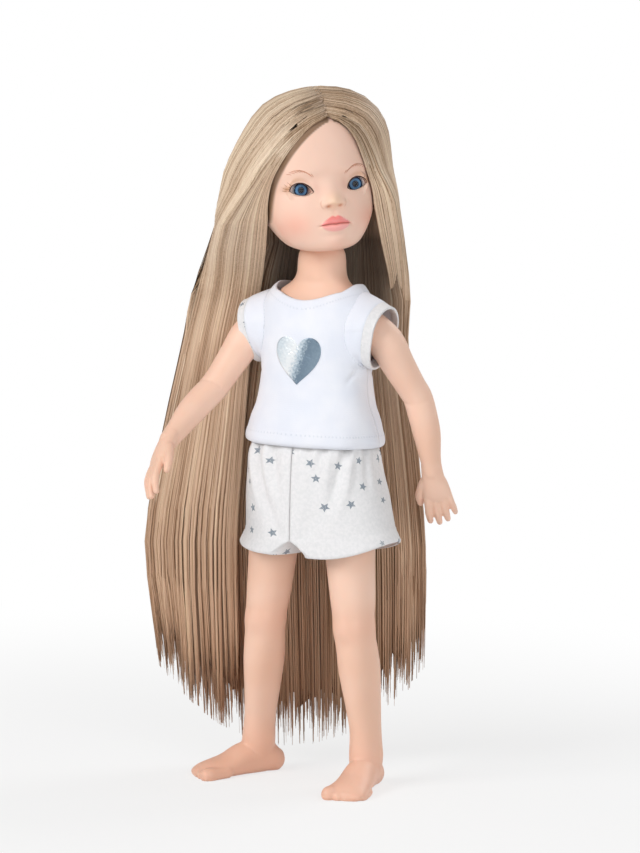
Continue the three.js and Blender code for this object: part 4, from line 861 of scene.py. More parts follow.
# Lids: moulded rims round both eye openings, the upper one lined in dark brown and the lower one left pale.
# Lashes and brows are brushed on in single strokes over the lids' outer corners and the brow bones.
skin_line = line_finish("lid_skin", paint(240, 196, 176))
lash_paint = line_finish("lash_paint", paint(58, 30, 20))
brow_paint = line_finish("brow_paint", paint(204, 146, 120))
gold_paint = line_finish("gold_paint", paint(150, 98, 52))
for side in (1, -1):
    name = side_name[side]
    t = np.linspace(0.0, 1.0, 60)
    x = side * (7.9 + 9.8 * (0.5 - 0.5 * np.cos(np.pi * t)))
    upper, lower = lid_lines(x)
    rim = np.stack([x, upper + 0.12], -1)[None]
    swell = 0.34 + 0.12 * np.sin(np.pi * t)
    lash_width = (0.2 + 0.14 * np.sin(np.pi * t) ** 0.6)[None]
    face_lines("upper_lid_" + name, rim + [0, 0.32], swell[None], skin_line, 0.0)
    face_lines("lash_line_" + name, rim - [0, 0.12], lash_width, lash_paint, 0.34)
    face_lines("lower_lid_" + name, np.stack([x, lower - 0.16], -1)[None], swell[None] * 0.8, skin_line, 0.0)
    low_line = np.stack([x, lower + 0.12], -1)[None]
    low_width = (0.06 + 0.1 * smooth(np.abs(t - 0.45), 0.15, 0.5))[None]
    face_lines("lash_low_" + name, low_line, low_width, lash_paint, 0.26)
    corner = np.linspace(0, 1, 8)
    flick = []
    for start, end, bow in [((17.3, 36.0), (20.4, 37.4), 0.35), ((17.6, 35.4), (20.6, 35.9), 0.25),
                            ((17.0, 36.7), (19.4, 38.6), 0.3), ((16.4, 37.3), (18.2, 39.5), 0.25)]:
        flick.append(np.stack([side * (start[0] + (end[0] - start[0]) * corner),
                               start[1] + (end[1] - start[1]) * corner - bow * np.sin(np.pi * corner)], -1))
    flick_width = 0.13 * (1 - corner) ** 0.6 + 0.02
    face_lines("lashes_" + name, np.array(flick), np.tile(flick_width, (4, 1)), gold_paint)
    strokes = []
    for i in range(11):
        u = i / 10
        x0 = 18.4 - 10.2 * u
        z0 = 42.9 + 1.5 * math.sin(math.pi * min(1, u * 1.15)) ** 0.8 - 1.0 * u**3
        length = 2.2 + 1.2 * math.sin(math.pi * u)
        slant = math.radians(-20 - 44 * u**1.2)
        fall = length * math.sin(slant) * corner * 0.8 + 0.25 * np.sin(np.pi * corner)
        strokes.append(np.stack([side * (x0 - length * math.cos(slant) * corner), z0 + fall], -1))
    stroke_width = 0.21 * np.sin(np.pi * (0.12 + 0.8 * corner)) + 0.02
    face_lines("brow_" + name, np.array(strokes), np.tile(stroke_width, (11, 1)), brow_paint)

# Eyes: white eyeballs set in from behind, each with a printed iris in its front and a clear dome over it.
# The iris is sky blue with a navy rim, a darker ring round the pupil and fine spokes.
ball_white = Finish("eye_white")
veil = ball_white.noise(ball_white.coordinates(), 300.0, 2.0)
white_tint = ball_white.mixed(veil.within(0.4, 0.8), paint(240, 236, 238), paint(226, 214, 220))
eye_white = ball_white.surface({"Base Color": white_tint, "Roughness": veil * 0.06 + 0.08,
                                "Coat Weight": 0.5, "Coat Roughness": 0.05})
print_blue = Finish("iris_print")
polar = print_blue.coordinates("UV")
split = print_blue.node("ShaderNodeSeparateXYZ", {}, {0: polar}, "X")
around, outside = split, split.other("Y")
turn = around * (2 * math.pi)
spokes = (turn * 23.0 + (turn * 5.0).sin() * 1.2).sin() * 0.5 + (turn * 41.0).sin() * 0.3
rings = print_blue.node("ShaderNodeValToRGB", {"stops": [
    (0.0, paint(4, 5, 9)), (0.33, paint(6, 9, 16)), (0.38, paint(30, 56, 92)), (0.46, paint(60, 104, 150)),
    (0.56, paint(110, 162, 206)), (0.70, paint(104, 156, 202)), (0.79, paint(40, 74, 122)),
    (0.86, paint(12, 22, 46)),
    (1.0, paint(8, 14, 32))]}, {"Fac": outside + spokes * 0.035})
iris_print = print_blue.surface({"Base Color": rings, "Roughness": outside * 0.02 + 0.3,
                                 "Specular IOR Level": 0.2})
clear = Finish("clear_dome")
facing = clear.node("ShaderNodeFresnel", {}, {"IOR": 1.45})
eye_lens = clear.surface({"Base Color": (0.02, 0.03, 0.05, 1), "Roughness": 0.04,
                          "Alpha": facing * 0.7 + 0.08, "Specular IOR Level": 1.0})


def disc(radii, levels_out, sides=72):
    """A round form about the eye's own axis: rings of a radius and a depth in front, seen square on."""
    angle = np.linspace(0, 2 * np.pi, sides, endpoint=False)
    radii, levels_out = np.asarray(radii)[:, None], np.asarray(levels_out)[:, None]
    return np.stack(np.broadcast_arrays(radii * np.cos(angle), levels_out, radii * np.sin(angle)), -1)


for side in (1, -1):
    name = side_name[side]
    centre = eye_centre * [side, 1, 1] + face_place
    polar_turn = np.linspace(0, np.pi, 40)
    front = math.pi - math.asin(iris_radius / eye_radius)
    polar_turn = polar_turn * front / np.pi
    ball = disc(eye_radius * np.sin(polar_turn[1:]), eye_radius * np.cos(polar_turn[1:]))
    eye = make_piece("eyeball_" + name, from_head(loft(ball)[0] + centre), loft(ball)[1], eye_white, "head")
    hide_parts("eye_white_" + name)
    share = np.linspace(1, 0.02, 30)
    front_rings = disc(iris_radius * share, iris_level - eye_centre[1] + 0.05 - 0.55 * (1 - share**2))
    rings_all = np.concatenate([disc([iris_radius], [iris_level - eye_centre[1] + 0.3]), front_rings])
    points, faces = loft(rings_all)
    out = np.hypot(points[:, 0], points[:, 2]) / iris_radius
    turned_share = np.arctan2(points[:, 2], points[:, 0]) / (2 * np.pi) % 1
    iris = make_piece("iris_disc_" + name, from_head(points + centre), faces, iris_print, "head",
                      uv=np.stack([turned_share, out], -1))
    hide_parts("iris_" + name)
    rise = np.linspace(0, np.pi / 2 - 0.03, 14)
    base = disc([dome_radius * 0.98], [iris_level - eye_centre[1] + 0.12])
    dome_levels = iris_level - eye_centre[1] + 0.02 - dome_rise * np.sin(rise)
    dome_rings = disc(dome_radius * np.cos(rise), dome_levels)
    points, faces = loft(np.concatenate([base, dome_rings]))
    dome_piece = make_piece("eye_dome_" + name, from_head(points + centre), faces, eye_lens, "head")
    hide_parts("eye_lens_" + name)

# Hair: straight fibre rooted in plugs along a parting, in a thick curtain to the ankles. An under-layer gives
# it body, and thousands of fine flat strands run over it from the parting to uneven tips, gathered in locks.
# Its under-layer on the scalp turns with the head.
hair_rim = 17.5
hair_ends = {-1: math.radians(81), 1: math.radians(60)}
parting_shift = 4.0
leaves_head = 0.85
tip_height, tip_rise = 24, 40
fall_rows = np.array([
    # height, right and left end across, how far back those ends and the middle lie, thickness
    [226, -57, 40.6, 26, 16, 34.5, 5.2],
    [200, -62, 41.4, 27, 20, 34.5, 4.6],
    [150, -72, 48, 27, 25, 35, 4.4],
    [105, -78, 53, 28, 27, 35.5, 4.2],
    [24, -72, 54, 28, 28, 36, 3],
])


def crown_swell(angle, z):
    """How far the hair stands off the skull: even on top, and fuller down both sides."""
    down = np.clip((head_height - z) / 58.6, 0, None) ** 1.9
    right = np.maximum(0, -np.sin(angle)) ** 1.5
    left = np.maximum(0, np.sin(angle)) ** 1.5
    return 4.4 + (20.4 * right + 9.4 * left) * down


def hair_face(share, angle, outer):
    """The hair's outer face on the head, or its inner one just off the scalp."""
    if outer:
        return head_form(share, angle, 0, crown_swell, relief=0)
    return head_form(share, angle, 1.2, relief=0)


rim_angles = np.linspace(0, np.pi, 60) * np.array([[-1], [1]])
rim_shares = {}
for outer in (False, True):
    low, high = np.full(rim_angles.shape, 0.15), np.full(rim_angles.shape, 0.9)
    for _ in range(22):
        half = (low + high) / 2
        under = hair_face(half, rim_angles, outer)[..., 2] < hair_rim
        low, high = np.where(under, half, low), np.where(under, high, half)
    rim_shares[outer] = high


def crown_flow(place, along, depth):
    """Points of the hair on the head. Place runs from -1 at the right front edge round the back to 1 at the
    left one, along from the parting to the rim, and depth from the scalp outwards. Side strands leave the
    parting square to it and turn down into the face's edge or the rim, and back ones run straight down."""
    place, along, depth = np.broadcast_arrays(place, along, depth)
    side = np.where(place < 0, -1, 1)
    reach = np.abs(place)
    end = np.pi - reach * (np.pi - np.where(side < 0, hair_ends[-1], hair_ends[1]))
    root = 0.995 - 0.205 * reach**1.5
    rims = [np.where(side < 0, np.interp(end, np.abs(rim_angles[0]), rim_shares[k][0]),
                     np.interp(end, rim_angles[1], rim_shares[k][1])) for k in (False, True)]
    middle = root + (rims[1] - root) * along
    square = np.arccos(np.clip(through(head_rows, root)[..., 3] / through(head_rows, middle)[..., 3], -1, 1))
    at_edge, at_back = reach**3, 1 - smooth(reach, 0.0, 0.45)
    angle = (1 - at_edge) * (square + (end - square) * along**1.5) + at_edge * end * along**0.6
    angle = side * (angle + (end - angle) * at_back)
    inner, outer = (hair_face(root + (rim - root) * along, angle, k) for k, rim in enumerate(rims))
    points = inner + (outer - inner) * (depth * (0.3 + 0.7 * smooth(along, 0, 0.2)))[..., None]
    points[..., 0] += parting_shift * smooth(points[..., 2], 38, 66)
    return points


def along_paths(controls, shares):
    """Smooth curves through each row of control points, read at that row's own shares of its length."""
    last = controls.shape[1] - 1
    at = np.clip(shares, 0, 1) * last
    i = np.minimum(at.astype(int), last - 1)
    t = (at - i)[..., None]
    beside = (np.clip(i + k, 0, last)[..., None] for k in (-1, 0, 1, 2))
    p0, p1, p2, p3 = (np.take_along_axis(controls, index, 1) for index in beside)
    bend = (2 * p0 - 5 * p1 + 4 * p2 - p3) * t**2 + (3 * p1 - p0 - 3 * p2 + p3) * t**3
    return 0.5 * (2 * p1 + (p2 - p0) * t + bend)


hair_axes = np.array(Matrix.Rotation(view_turn, 3, "Z"))
turn_back = {-1: 0.74, 1: 0.87}
front_rows = {
    # height, across at the front edge and at the outline, how far back each of the two lies
    -1: np.array([[226, -26, -54.5, 24.5, 19], [200, -30, -60.5, 26, 24.5], [150, -33, -71, 27, 25],
                  [105, -35, -78, 27.5, 25.5], [24, -33, -72, 27.5, 26]]),
    1: np.array([[226, 34, 42.5, 17, 13], [200, 34, 42.5, 24.5, 19], [150, 37, 48.5, 26, 24],
                 [105, 39, 53, 27, 25.5], [24, 40, 54, 27, 26]]),
}


front_share = 0.74


def on_crown(rim_place, crown_depth, along):
    """Points of a strand's way over the head, from the parting at along -1 to where it leaves at 0."""
    return from_head(crown_flow(rim_place, (1 + along) * leaves_head, crown_depth))


def down_from(rim_place, crown_depth, rows, along):
    """Points of a strand's way over the head and on down through the rows, as one smooth curve: it leaves
    the head in the direction in which it came."""
    last, before = (on_crown(rim_place, crown_depth, k) @ hair_axes for k in (0.0, -0.06))
    ahead = last + unit(last - before) * 40
    controls = np.stack([2 * last - ahead, last] + rows, 1)
    count = controls.shape[1] - 1
    along = np.broadcast_to(along, (len(rim_place), np.shape(along)[-1]))
    below = along_paths(controls, (1 + np.clip(along, 0, 1) * (count - 1)) / count) @ hair_axes.T
    above = on_crown(rim_place[:, None], crown_depth[:, None], np.minimum(along, 0))
    return np.where((along < 0)[..., None], above, below)


def fall_flow(place, along, depth, tip):
    """Points of the falling hair, from the parting at along -1 over the head to the tips at 1. Each column
    passes level by level behind the shoulders, bowed back in its middle. Tip moves a strand's end."""
    place, depth, tip = np.broadcast_arrays(place, depth, tip)
    rows = []
    for height, right, left, end_right, end_left, back, thickness in fall_rows:
        end = np.where(place < 0, end_right, end_left)
        behind = end + (back - end) * (1 - np.abs(place) ** 2.4)
        slope = (end - back) * 2.4 * np.abs(place) ** 1.4 * np.sign(place) / ((left - right) / 2)
        lean = np.arctan(slope)
        inward = thickness * (1 - 0.4 * place**4) * (1 - depth)
        across = (right + left) / 2 + place * (left - right) / 2 + inward * np.sin(lean)
        if height == tip_height:
            height = tip_height + tip_rise * np.abs(place) ** 2.2 + tip
        height = np.broadcast_to(height, place.shape)
        rows.append(np.stack([across, behind - inward * np.cos(lean), height], -1))
    return down_from(place * np.where(place < 0, turn_back[-1], turn_back[1]), depth, rows, along)


def curtain_flow(side, share, along, depth, tip):
    """Points of the hair in front of that: share runs 0 to 1 from the edge beside the face to the outline.
    On the head the first three quarters of it are the thick front edge, and the rest the outer face."""
    share, depth, tip = np.broadcast_arrays(share, depth, tip)
    at_front = smooth(share, 0.86, 0.64)
    past = np.clip((share - front_share) / (1 - front_share), 0, 1)
    rim_place = side * (1 - (1 - depth) * 0.05 * at_front - past * (1 - turn_back[side]))
    crown_depth = np.clip(share / front_share, 0, 1) - (1 - depth) * 0.14 * (1 - at_front)
    rows = []
    for height, front, outline, front_back, outline_back in front_rows[side]:
        across = front + (outline - front) * share
        behind = front_back + (outline_back - front_back) * share + 2.2 * (1 - depth)
        if height == tip_height:
            reach = np.abs(across / outline)
            height = tip_height + tip_rise * reach**2.2 + tip
        rows.append(np.stack([across, behind, np.broadcast_to(height, across.shape)], -1))
    return down_from(rim_place, crown_depth, rows, along)


fibre = Finish("hair")
tone = fibre.node("ShaderNodeVertexColor", {"layer_name": "tone"}, {}, "Color")
parts = fibre.node("ShaderNodeSeparateColor", {}, {0: tone}, "Red")
shade, along, painted_shade = parts, parts.other("Green"), parts.other("Blue")
streak = fibre.noise(fibre.stretched(fibre.coordinates(), (900, 900, 30)), 1.0, 2.0)
shade_mix = shade + (streak - 0.5) * 0.25
tint = fibre.node("ShaderNodeValToRGB", {"stops": [
    (0.0, paint(104, 74, 46)), (0.2, paint(164, 132, 100)), (0.42, paint(212, 184, 156)),
    (0.66, paint(234, 210, 184)), (0.86, paint(246, 228, 196)),
    (1.0, paint(252, 240, 216))]}, {"Fac": shade_mix})
warm = fibre.mixed(along * 0.6, tint, paint(196, 142, 98), "MULTIPLY")
# painted shade: the tone's third part darkens the hair to a near-black brown, behind the neck and through the
# under-layers
shaded = fibre.mixed(painted_shade, warm, paint(34, 19, 9))
fibre_surface = {"Base Color": shaded, "Roughness": streak * 0.14 + 0.36, "Specular IOR Level": 0.5}
hair_fibre = fibre.surface(fibre_surface)


def with_tone(count, shade, along, painted_shade):
    """One tone a point: the strand's shade, how far down it is and how much painted shade darkens it."""
    return np.stack([np.broadcast_to(np.ravel(part), count) for part in (shade, along, painted_shade, 1.0)], -1)


lot = np.random.default_rng(41)


def strand_set(count, inner_share, low, high):
    """Places, depths and shades of a set of strands between two places: most lie in the outer face, some in
    the inner one, and those at a front edge fan over the whole thickness. Shades change lock by lock."""
    place = np.sort(lot.uniform(low, high, count))
    depth = 1 - 0.16 * lot.random(count) ** 1.3
    inside = lot.random(count) < inner_share
    depth = np.where(inside, 0.1 * lot.random(count), depth)
    lock = 0.5 * np.sin(place * 23 + 1.3) + 0.32 * np.sin(place * 57 + 0.4) + 0.3 * np.sin(place * 131 + 2.2)
    shade = 0.5 + 0.17 * lock + 0.13 * lot.standard_normal(count)
    shade = np.where(lot.random(count) < 0.1, shade + 0.25, shade)
    shade = np.where(lot.random(count) < 0.08, shade - 0.3, shade)
    return place, depth, np.clip(shade, 0.02, 0.98)


def strand_piece(name, paths, outwards, half_width, shade, painted_shade, down):
    """A set of strands as one piece: flat fibres that lie along their paths and face outwards."""
    along = unit(np.gradient(paths, axis=1))
    across = unit(np.cross(along, outwards))
    lift = unit(np.cross(across, along))
    points, faces = strands(paths, across, lift, half_width, half_width * 0.45)
    sides = len(points) // (paths.shape[0] * paths.shape[1])
    tones = with_tone(len(points), np.repeat(np.broadcast_to(shade, paths.shape[:2])[..., None], sides, -1),
                      np.repeat(np.broadcast_to(down, paths.shape[:2])[..., None], sides, -1),
                      np.repeat(np.broadcast_to(painted_shade, paths.shape[:2])[..., None], sides, -1))
    return make_piece(name, points, faces, hair_fibre, tone=tones)


places = np.linspace(-0.955, 0.955, 161)[None, :]
alongs = np.linspace(0, leaves_head + 0.03, 26)[:, None]
cap_faces = [crown_flow(places, alongs, k) for k in (0.7, 0.0)]
points, faces = loft(np.concatenate([cap_faces[0], cap_faces[1][:, ::-1]], 1))
# a dark tone with a little painted shade under the strands on the scalp
tones = with_tone(len(points), 0.24, 0.0, 0.05)
scalp_hair = make_piece("hair_on_scalp_under", from_head(points), faces, hair_fibre, "head", tone=tones)
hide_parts("hair_crown")


def gathered(spot, low, high):
    """Locks of uneven width between two places: each strand's lock centre, and how far it is from it."""
    edges = np.cumsum(lot.uniform(0.012, 0.06, 400) * (high - low) * 1.6)
    edges = np.concatenate([[0], edges[edges < 1], [1]]) * (high - low) + low
    lock = np.clip(np.searchsorted(edges, spot) - 1, 0, len(edges) - 2)
    centre = (edges[lock] + edges[lock + 1]) / 2
    pull = lot.uniform(0.25, 0.85, len(edges))[lock]
    tip = (7 * lot.standard_normal(len(edges)))[lock]
    return centre, (spot - centre) / np.maximum((edges[lock + 1] - edges[lock]) / 2, 1e-6), pull, tip


def falling(name, flow, spot, low, high, depth, shade, facing, painted_shade, rooted=True):
    """A set of strands from the parting, or from where the hair leaves the head, to the tips: each keeps to
    its own place, is drawn into its lock towards the tips, and ends at its own height. The faces' outward
    side is facing times the flow's. Along the parting the plugs reach over it by turns from either side."""
    count = len(spot)
    steps = np.linspace(0, 1, 15)[None, :] ** 0.95
    if rooted:
        steps = np.concatenate([np.linspace(-1, 0, 16)[None, :-1], steps], 1)
    centre, off, pull, tip = gathered(spot, low, high)
    tip = np.clip(tip + 5 * lot.standard_normal(count) + 9 * np.abs(off) - 2, -15, 34)
    moved = spot[:, None] + ((centre - spot) * pull)[:, None] * smooth(steps, 0.45, 1.0)
    moved = moved + 0.004 * (high - low) * np.abs(steps) * np.sin(steps * 6 + lot.uniform(0, 6, (count, 1)))
    stray = (lot.random(count) < 0.02) * lot.uniform(-0.05, 0.05, count)
    moved = np.clip(moved + stray[:, None] * np.clip(steps, 0, 1) ** 2, low, high)
    bulge = (0.1 * np.cos(off * np.pi / 2))[:, None] * smooth(steps, 0.15, 0.7) * facing
    deep = np.clip(depth[:, None] + bulge, -0.3, 1.3)
    tips = np.repeat(tip, steps.shape[1])
    along = np.tile(steps, (count, 1)).reshape(-1, 1)
    paths = flow(moved.ravel(), along, deep.ravel(), tips).reshape(count, -1, 3)
    above = flow(moved.ravel(), along, (deep + 0.2 * facing).ravel(), tips).reshape(count, -1, 3)
    at_root = smooth(steps, -0.82, -1.0)
    plug = np.abs((np.abs(spot) * 9) % 1 - 0.5) * 2
    paths -= (np.sign(spot) * 1.6 * (plug - 0.3))[:, None, None] * at_root[..., None] * head_lean[:, 0]
    width = lot.uniform(0.2, 0.44, count)[:, None] * (1 - 0.75 * smooth(steps, 0.82, 1.0))
    width = width * (1 - 0.4 * at_root)
    down = np.clip(1.05 - paths[..., 2] / 250, 0, 1)
    across = paths[..., 0] * hair_axes[0, 0] + paths[..., 1] * hair_axes[1, 0]
    # painted shade: strands that hang behind the neck are darkened there
    behind_neck = smooth(np.abs(across - 6), 38, 22) * smooth(paths[..., 2], 180, 226) * (steps > 0)
    root_shade = 0.2 * (paths[..., 0] > neck_pivot[0]) * smooth(steps, -0.35, -0.9)
    shade = shade[:, None] - root_shade
    return strand_piece(name, paths, unit(above - paths), width, shade, painted_shade * behind_neck, down)


def bent(made):
    """Bakes a piece of falling hair's placement into its points; it does not bend it."""
    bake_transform(made)


def under_layer(name, flow, places, depths, node=None):
    """The plain body of a fall or curtain between two depths, a little shorter than its strands."""
    drops = np.linspace(0, 1, 40)
    tips = 10 + 4 * np.sin(places * 61) + 3 * np.sin(places * 143)
    front, back = (flow(places, drops, np.full(len(places), k), tips) for k in depths)
    points, faces = loft(np.concatenate([front, back[::-1]], 0).transpose(1, 0, 2))
    heights = points[:, 2]
    across = points[:, 0] * hair_axes[0, 0] + points[:, 1] * hair_axes[1, 0]
    # painted shade: the under-layer is darkened throughout, and more behind the neck, so that gaps between
    # strands read as shade
    behind_neck = smooth(np.abs(across - 6), 38, 22) * smooth(heights, 180, 226)
    tones = with_tone(len(points), 0.2, np.clip(1.05 - heights / 250, 0, 1), 0.15 + 0.7 * behind_neck)
    made = make_piece(name, points, faces, hair_fibre, tone=tones)
    if node:
        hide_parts(node)
    bent(made)


falls = [
    # name, the solid it stands for, and the places from low to high that it covers
    ("right", "hair_fall_right", -1, -0.5),
    ("back_right", "hair_back_right", -0.5, 0),
    ("back_left", "hair_back_left", 0, 0.5),
    ("left", "hair_fall_left", 0.5, 1),
]
for name, node, low, high in falls:
    under_layer("hair_" + name + "_under", fall_flow, np.linspace(low, high, 41), (0.86, 0.16), node)
    spot, depth, shade = strand_set(760, 0.0, low, high)
    bent(falling("hair_" + name, fall_flow, spot, low, high, depth, shade, 1, 0.8))
    spot, depth, shade = strand_set(560, 1.0, low, high)
    bent(falling("hair_inside_" + name, fall_flow, spot, low, high, depth, shade, -1, 0.8, rooted=False))

for side, count in ((-1, 1120), (1, 760)):
    def flow(share, along, depth, tip):
        return curtain_flow(side, share, along, depth, tip)

    under_layer("curtain_" + side_name[side] + "_under", flow, np.linspace(0.01, 0.99, 41), (0.55, 0.0))
    spot, depth, shade = strand_set(count, 0.0, 0, 1)
    bent(falling("curtain_" + side_name[side], flow, spot, 0, 1, depth, shade, 1, 0.0))

# Top: a sleeveless shirt of fine white jersey in three panels, sewn at the sides and shoulders and open down
# the back. Stitches run along its neckline and above its turned-up hem, and it creases at the arms.
top_rows = [
    # height, half width, half depth, middle in Y
    [156.5, 32.4, 22.4, 1.3],
    [159.9, 33, 23, 1.3],
    [168, 31, 21.4, 1.3],
    [176.2, 28, 18.8, 1.3],
    [187, 26.7, 17.8, 1.3],
    [199, 27.2, 17.5, 1.3],
    [210, 27.4, 17.2, 1.3],
    [220, 27, 15.9, 1.8],
    [226.5, 23.6, 14.3, 2.6],
    [233, 17.4, 13, 3.4],
    [237, 13.4, 12.4, 4],
]
armhole_middle, armhole_half, armhole_turn = 209.5, 17.0, math.radians(42)
top_hem, strap_height, neck_half = 156.5, 230, 21.5
cloth = 0.8


def shell(outer, inner):
    """A closed sheet of cloth between an outer and an inner grid of points, walled along all its edges."""
    rows, columns = outer.shape[:2]
    count = rows * columns
    index = np.arange(count).reshape(rows, columns)
    rim = np.concatenate([index[0, :-1], index[:-1, -1], index[-1, :0:-1], index[:0:-1, 0]])
    after = np.roll(rim, -1)
    walls = np.stack([rim, rim + count, after + count, after], -1)
    front = grid_faces(rows, columns, False)
    points = np.concatenate([outer.reshape(-1, 3), inner.reshape(-1, 3)])
    return points, [front, front[:, ::-1] + count, walls]


def both_sides(values):
    """A value for each point of a shell's outer grid, repeated for its inner one."""
    flat = np.reshape(values, (-1,) + np.shape(values)[2:])
    return np.concatenate([flat, flat])


def side_angle(heights):
    """How far round from the middle a front panel reaches at a height: to the side, or to the armhole."""
    share = (heights - armhole_middle) / armhole_half
    return np.pi / 2 - armhole_turn * np.sqrt(np.clip(1 - share**2, 0, None))


def neckline(x, dip):
    t = np.clip((x + neck_half) / (2 * neck_half), 0, 1)
    return strap_height - dip * t * (1 - t)


def creases(angle, z):
    """Soft folds of the jersey: three that run in from each armhole, and two shallow waves at the waist."""
    reach = np.abs(angle)
    out = np.zeros(np.broadcast(angle, z).shape)
    for height, slope, deep in ((196, -13, 0.55), (191.5, -5, 0.45), (201, -22, 0.3)):
        line = height + slope * (1.45 - reach) / 0.7
        fuller_left = 0.5 + 0.5 * smooth(angle, -1, 1)
        out -= deep * np.exp(-(((z - line) / 1.3) ** 2)) * smooth(reach, 0.75, 1.2) * fuller_left
    out += 0.35 * np.sin(reach * 5 + z * 0.12) * hill(z, 0, 180, 0, 9, 1)
    return out + 0.3 * np.sin(angle * 9 + 0.8) * smooth(z, 172, 160)


def panel(low, high, dip, back=False):
    """A panel of the top as outer and inner grids, with each point's place in the cloth in millimetres and
    its distance under the neckline."""
    across = np.linspace(low, high, 90)[None, :]
    up = np.linspace(0, 1, 120)[:, None]
    top_edge = neckline(neck_half * rounded(np.sin(across * np.pi / 2), 2.3), dip)
    z = top_hem + (top_edge - top_hem) * up
    angle = across * side_angle(z)
    turn = np.pi - angle if back else angle
    hem_roll = 1 - np.sqrt(np.clip(1 - (1 - np.clip((z - top_hem) / 1.6, 0, 1)) ** 2, 0, 1))
    hem_band = 0.22 * smooth(z, top_hem + 6.6, top_hem + 5.8)
    neck_roll = 0.35 * smooth(top_edge - z, 0.7, 0.0)
    lift = creases(angle, z) + hem_band - 0.9 * hem_roll - neck_roll
    outer = levels(top_rows, z, turn, 0.1 + lift)
    inner = levels(top_rows, z, turn, lift - cloth)
    place = np.stack([angle * 26, z - top_hem, np.broadcast_to(top_edge - z, angle.shape)], -1)
    return outer, inner, place


jersey = Finish("jersey")
flat = jersey.node("ShaderNodeSeparateXYZ", {}, {0: jersey.coordinates("UV")}, "X")
wales, courses = flat, flat.other("Y")
from_neck = jersey.node("ShaderNodeVertexColor", {"layer_name": "tone"}, {}, "Color")
from_neck = jersey.node("ShaderNodeSeparateColor", {}, {0: from_neck}, "Red") * 80
ribs = (wales * (2 * math.pi / 0.62)).sin() * 0.5 + (courses * (2 * math.pi / 0.9)).sin() * 0.22
dots = (wales * (2 * math.pi / 1.55)).sin().within(0.1, 0.8)
row = ((courses - 5.6) * 1.7).abs().within(1.0, 0.2) + ((from_neck - 4.0) * 1.7).abs().within(1.0, 0.2)
fuzz = jersey.noise(jersey.coordinates(), 1500.0, 3.0)
uneven = jersey.noise(jersey.coordinates(), 60.0, 2.0)
height = ribs * 0.35 - dots * row * 1.6 + fuzz * 0.5
white_knit = jersey.mixed(uneven.within(0.3, 0.7), paint(232, 236, 246), paint(240, 242, 249))
knit = jersey.surface({
    "Base Color": jersey.mixed(dots * row * 0.35, white_knit, paint(206, 214, 228)),
    "Roughness": fuzz * 0.1 + 0.85,
    "Normal": jersey.bumps(height, 0.00016, 0.6),
    "Sheen Weight": 0.25,
    "Specular IOR Level": 0.2,
})
back_gap = 0.006
for name, low, high, dip, back in (("front", -1, 1, 30, False), ("back_left", back_gap, 1, 12, True),
                                   ("back_right", -1, -back_gap, 12, True)):
    outer, inner, spot = panel(low, high, dip, back)
    points, faces = shell(outer, inner)
    spot = both_sides(spot)
    tone = np.stack([spot[:, 2] / 80, spot[:, 2] * 0, spot[:, 2] * 0, spot[:, 2] * 0 + 1], -1)
    made = make_piece("top_panel_" + name, points, faces, knit, "torso", uv=spot[:, :2], tone=tone)
    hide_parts("top_" + name)
    wide = 0.095 if name == "front" else 0.048
    corner = outer[:-1, :-1]
    patches = np.cross(outer[1:, :-1] - corner, outer[:-1, 1:] - corner)
    cut = sum(np.linalg.norm(patches, axis=-1).ravel())
    min(cut * MM**2 * 1.02, wide * 0.074)

# Closure: narrow hook and loop tapes sewn inside the open edges of the back.
tape = Finish("closure_tape")
pile = tape.noise(tape.coordinates(), 2200.0, 3.0)
tape_cloth = tape.surface({"Base Color": tape.mixed(pile, paint(214, 218, 222), paint(238, 240, 242)),
                           "Roughness": pile * 0.1 + 0.88, "Normal": tape.bumps(pile, 0.0002, 0.8)})
for name, deep in (("loop_tape", 1.15), ("hook_tape", 1.85)):
    z = np.linspace(161.2, 222.8, 60)[:, None]
    turn = np.pi + np.linspace(-3.4, 3.4, 12)[None, :] / 19
    points, faces = shell(levels(top_rows, z, turn, -deep), levels(top_rows, z, turn, -deep - 0.5))
    made = make_piece(name + "_woven", points, faces, tape_cloth, "torso")
    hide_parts(name)

# Foil: a plain heart pressed on the chest, a thin silver film with fine creases, its colour a painted
# reflection that runs from bright to dark across it.
film = Finish("foil")
spread = film.coordinates("UV")
glint = film.node("ShaderNodeSeparateXYZ", {}, {0: spread}, "X")
crinkle = film.noise(film.coordinates(), 900.0, 4.0)
# painted reflection: a band from bright to dark swept diagonally across the heart
painted_reflection = glint * 0.9 - glint.other("Y") * 0.3 + (crinkle - 0.5) * 0.35
silver = film.node("ShaderNodeValToRGB", {"stops": [
    (0.0, paint(222, 234, 242)), (0.38, paint(250, 253, 255)), (0.52, paint(188, 204, 216)),
    (0.62, paint(118, 138, 156)), (1.0, paint(146, 166, 182))]}, {"Fac": painted_reflection + 0.5})
foil = film.surface({"Base Color": silver, "Metallic": 0.65, "Roughness": crinkle * 0.2 + 0.22,
                     "Normal": film.bumps(crinkle, 0.0003, 0.5)})


def heart_outline(count):
    """The heart's edge: one half of two cubic curves, from the point at the bottom to the dip on top, and
    its mirror image."""
    w = 11.5
    halves = []
    for curve in ([(0, -w), (w * 0.5, -w * 0.55), (w, -w * 0.2), (w, w * 0.35)],
                  [(w, w * 0.35), (w, w * 0.95), (w * 0.25, w * 1.05), (0, w * 0.5)]):
        t = np.linspace(0, 1, count, endpoint=False)[:, None]
        a, b, c, d = (np.array(p, float) for p in curve)
        halves.append(a * (1 - t) ** 3 + 3 * b * (1 - t) ** 2 * t + 3 * c * (1 - t) * t**2 + d * t**3)
    right = np.concatenate(halves + [[(0, w * 0.5)]])
    return np.concatenate([right, right[-2:0:-1] * [-1, 1]])


def on_top(x, z, lift):
    """Points on the front of the top at places across and up it."""
    dense = through(np.asarray(top_rows, float), np.linspace(0, 1, 600))
    width, depth, middle = (np.interp(z, dense[:, 0], dense[:, k]) for k in (1, 2, 3))
    share = np.clip(np.abs(x) / (width + lift), 0, 1)
    return np.stack([x, middle - (depth + lift) * (1 - share**2.3) ** (1 / 2.3), z], -1)


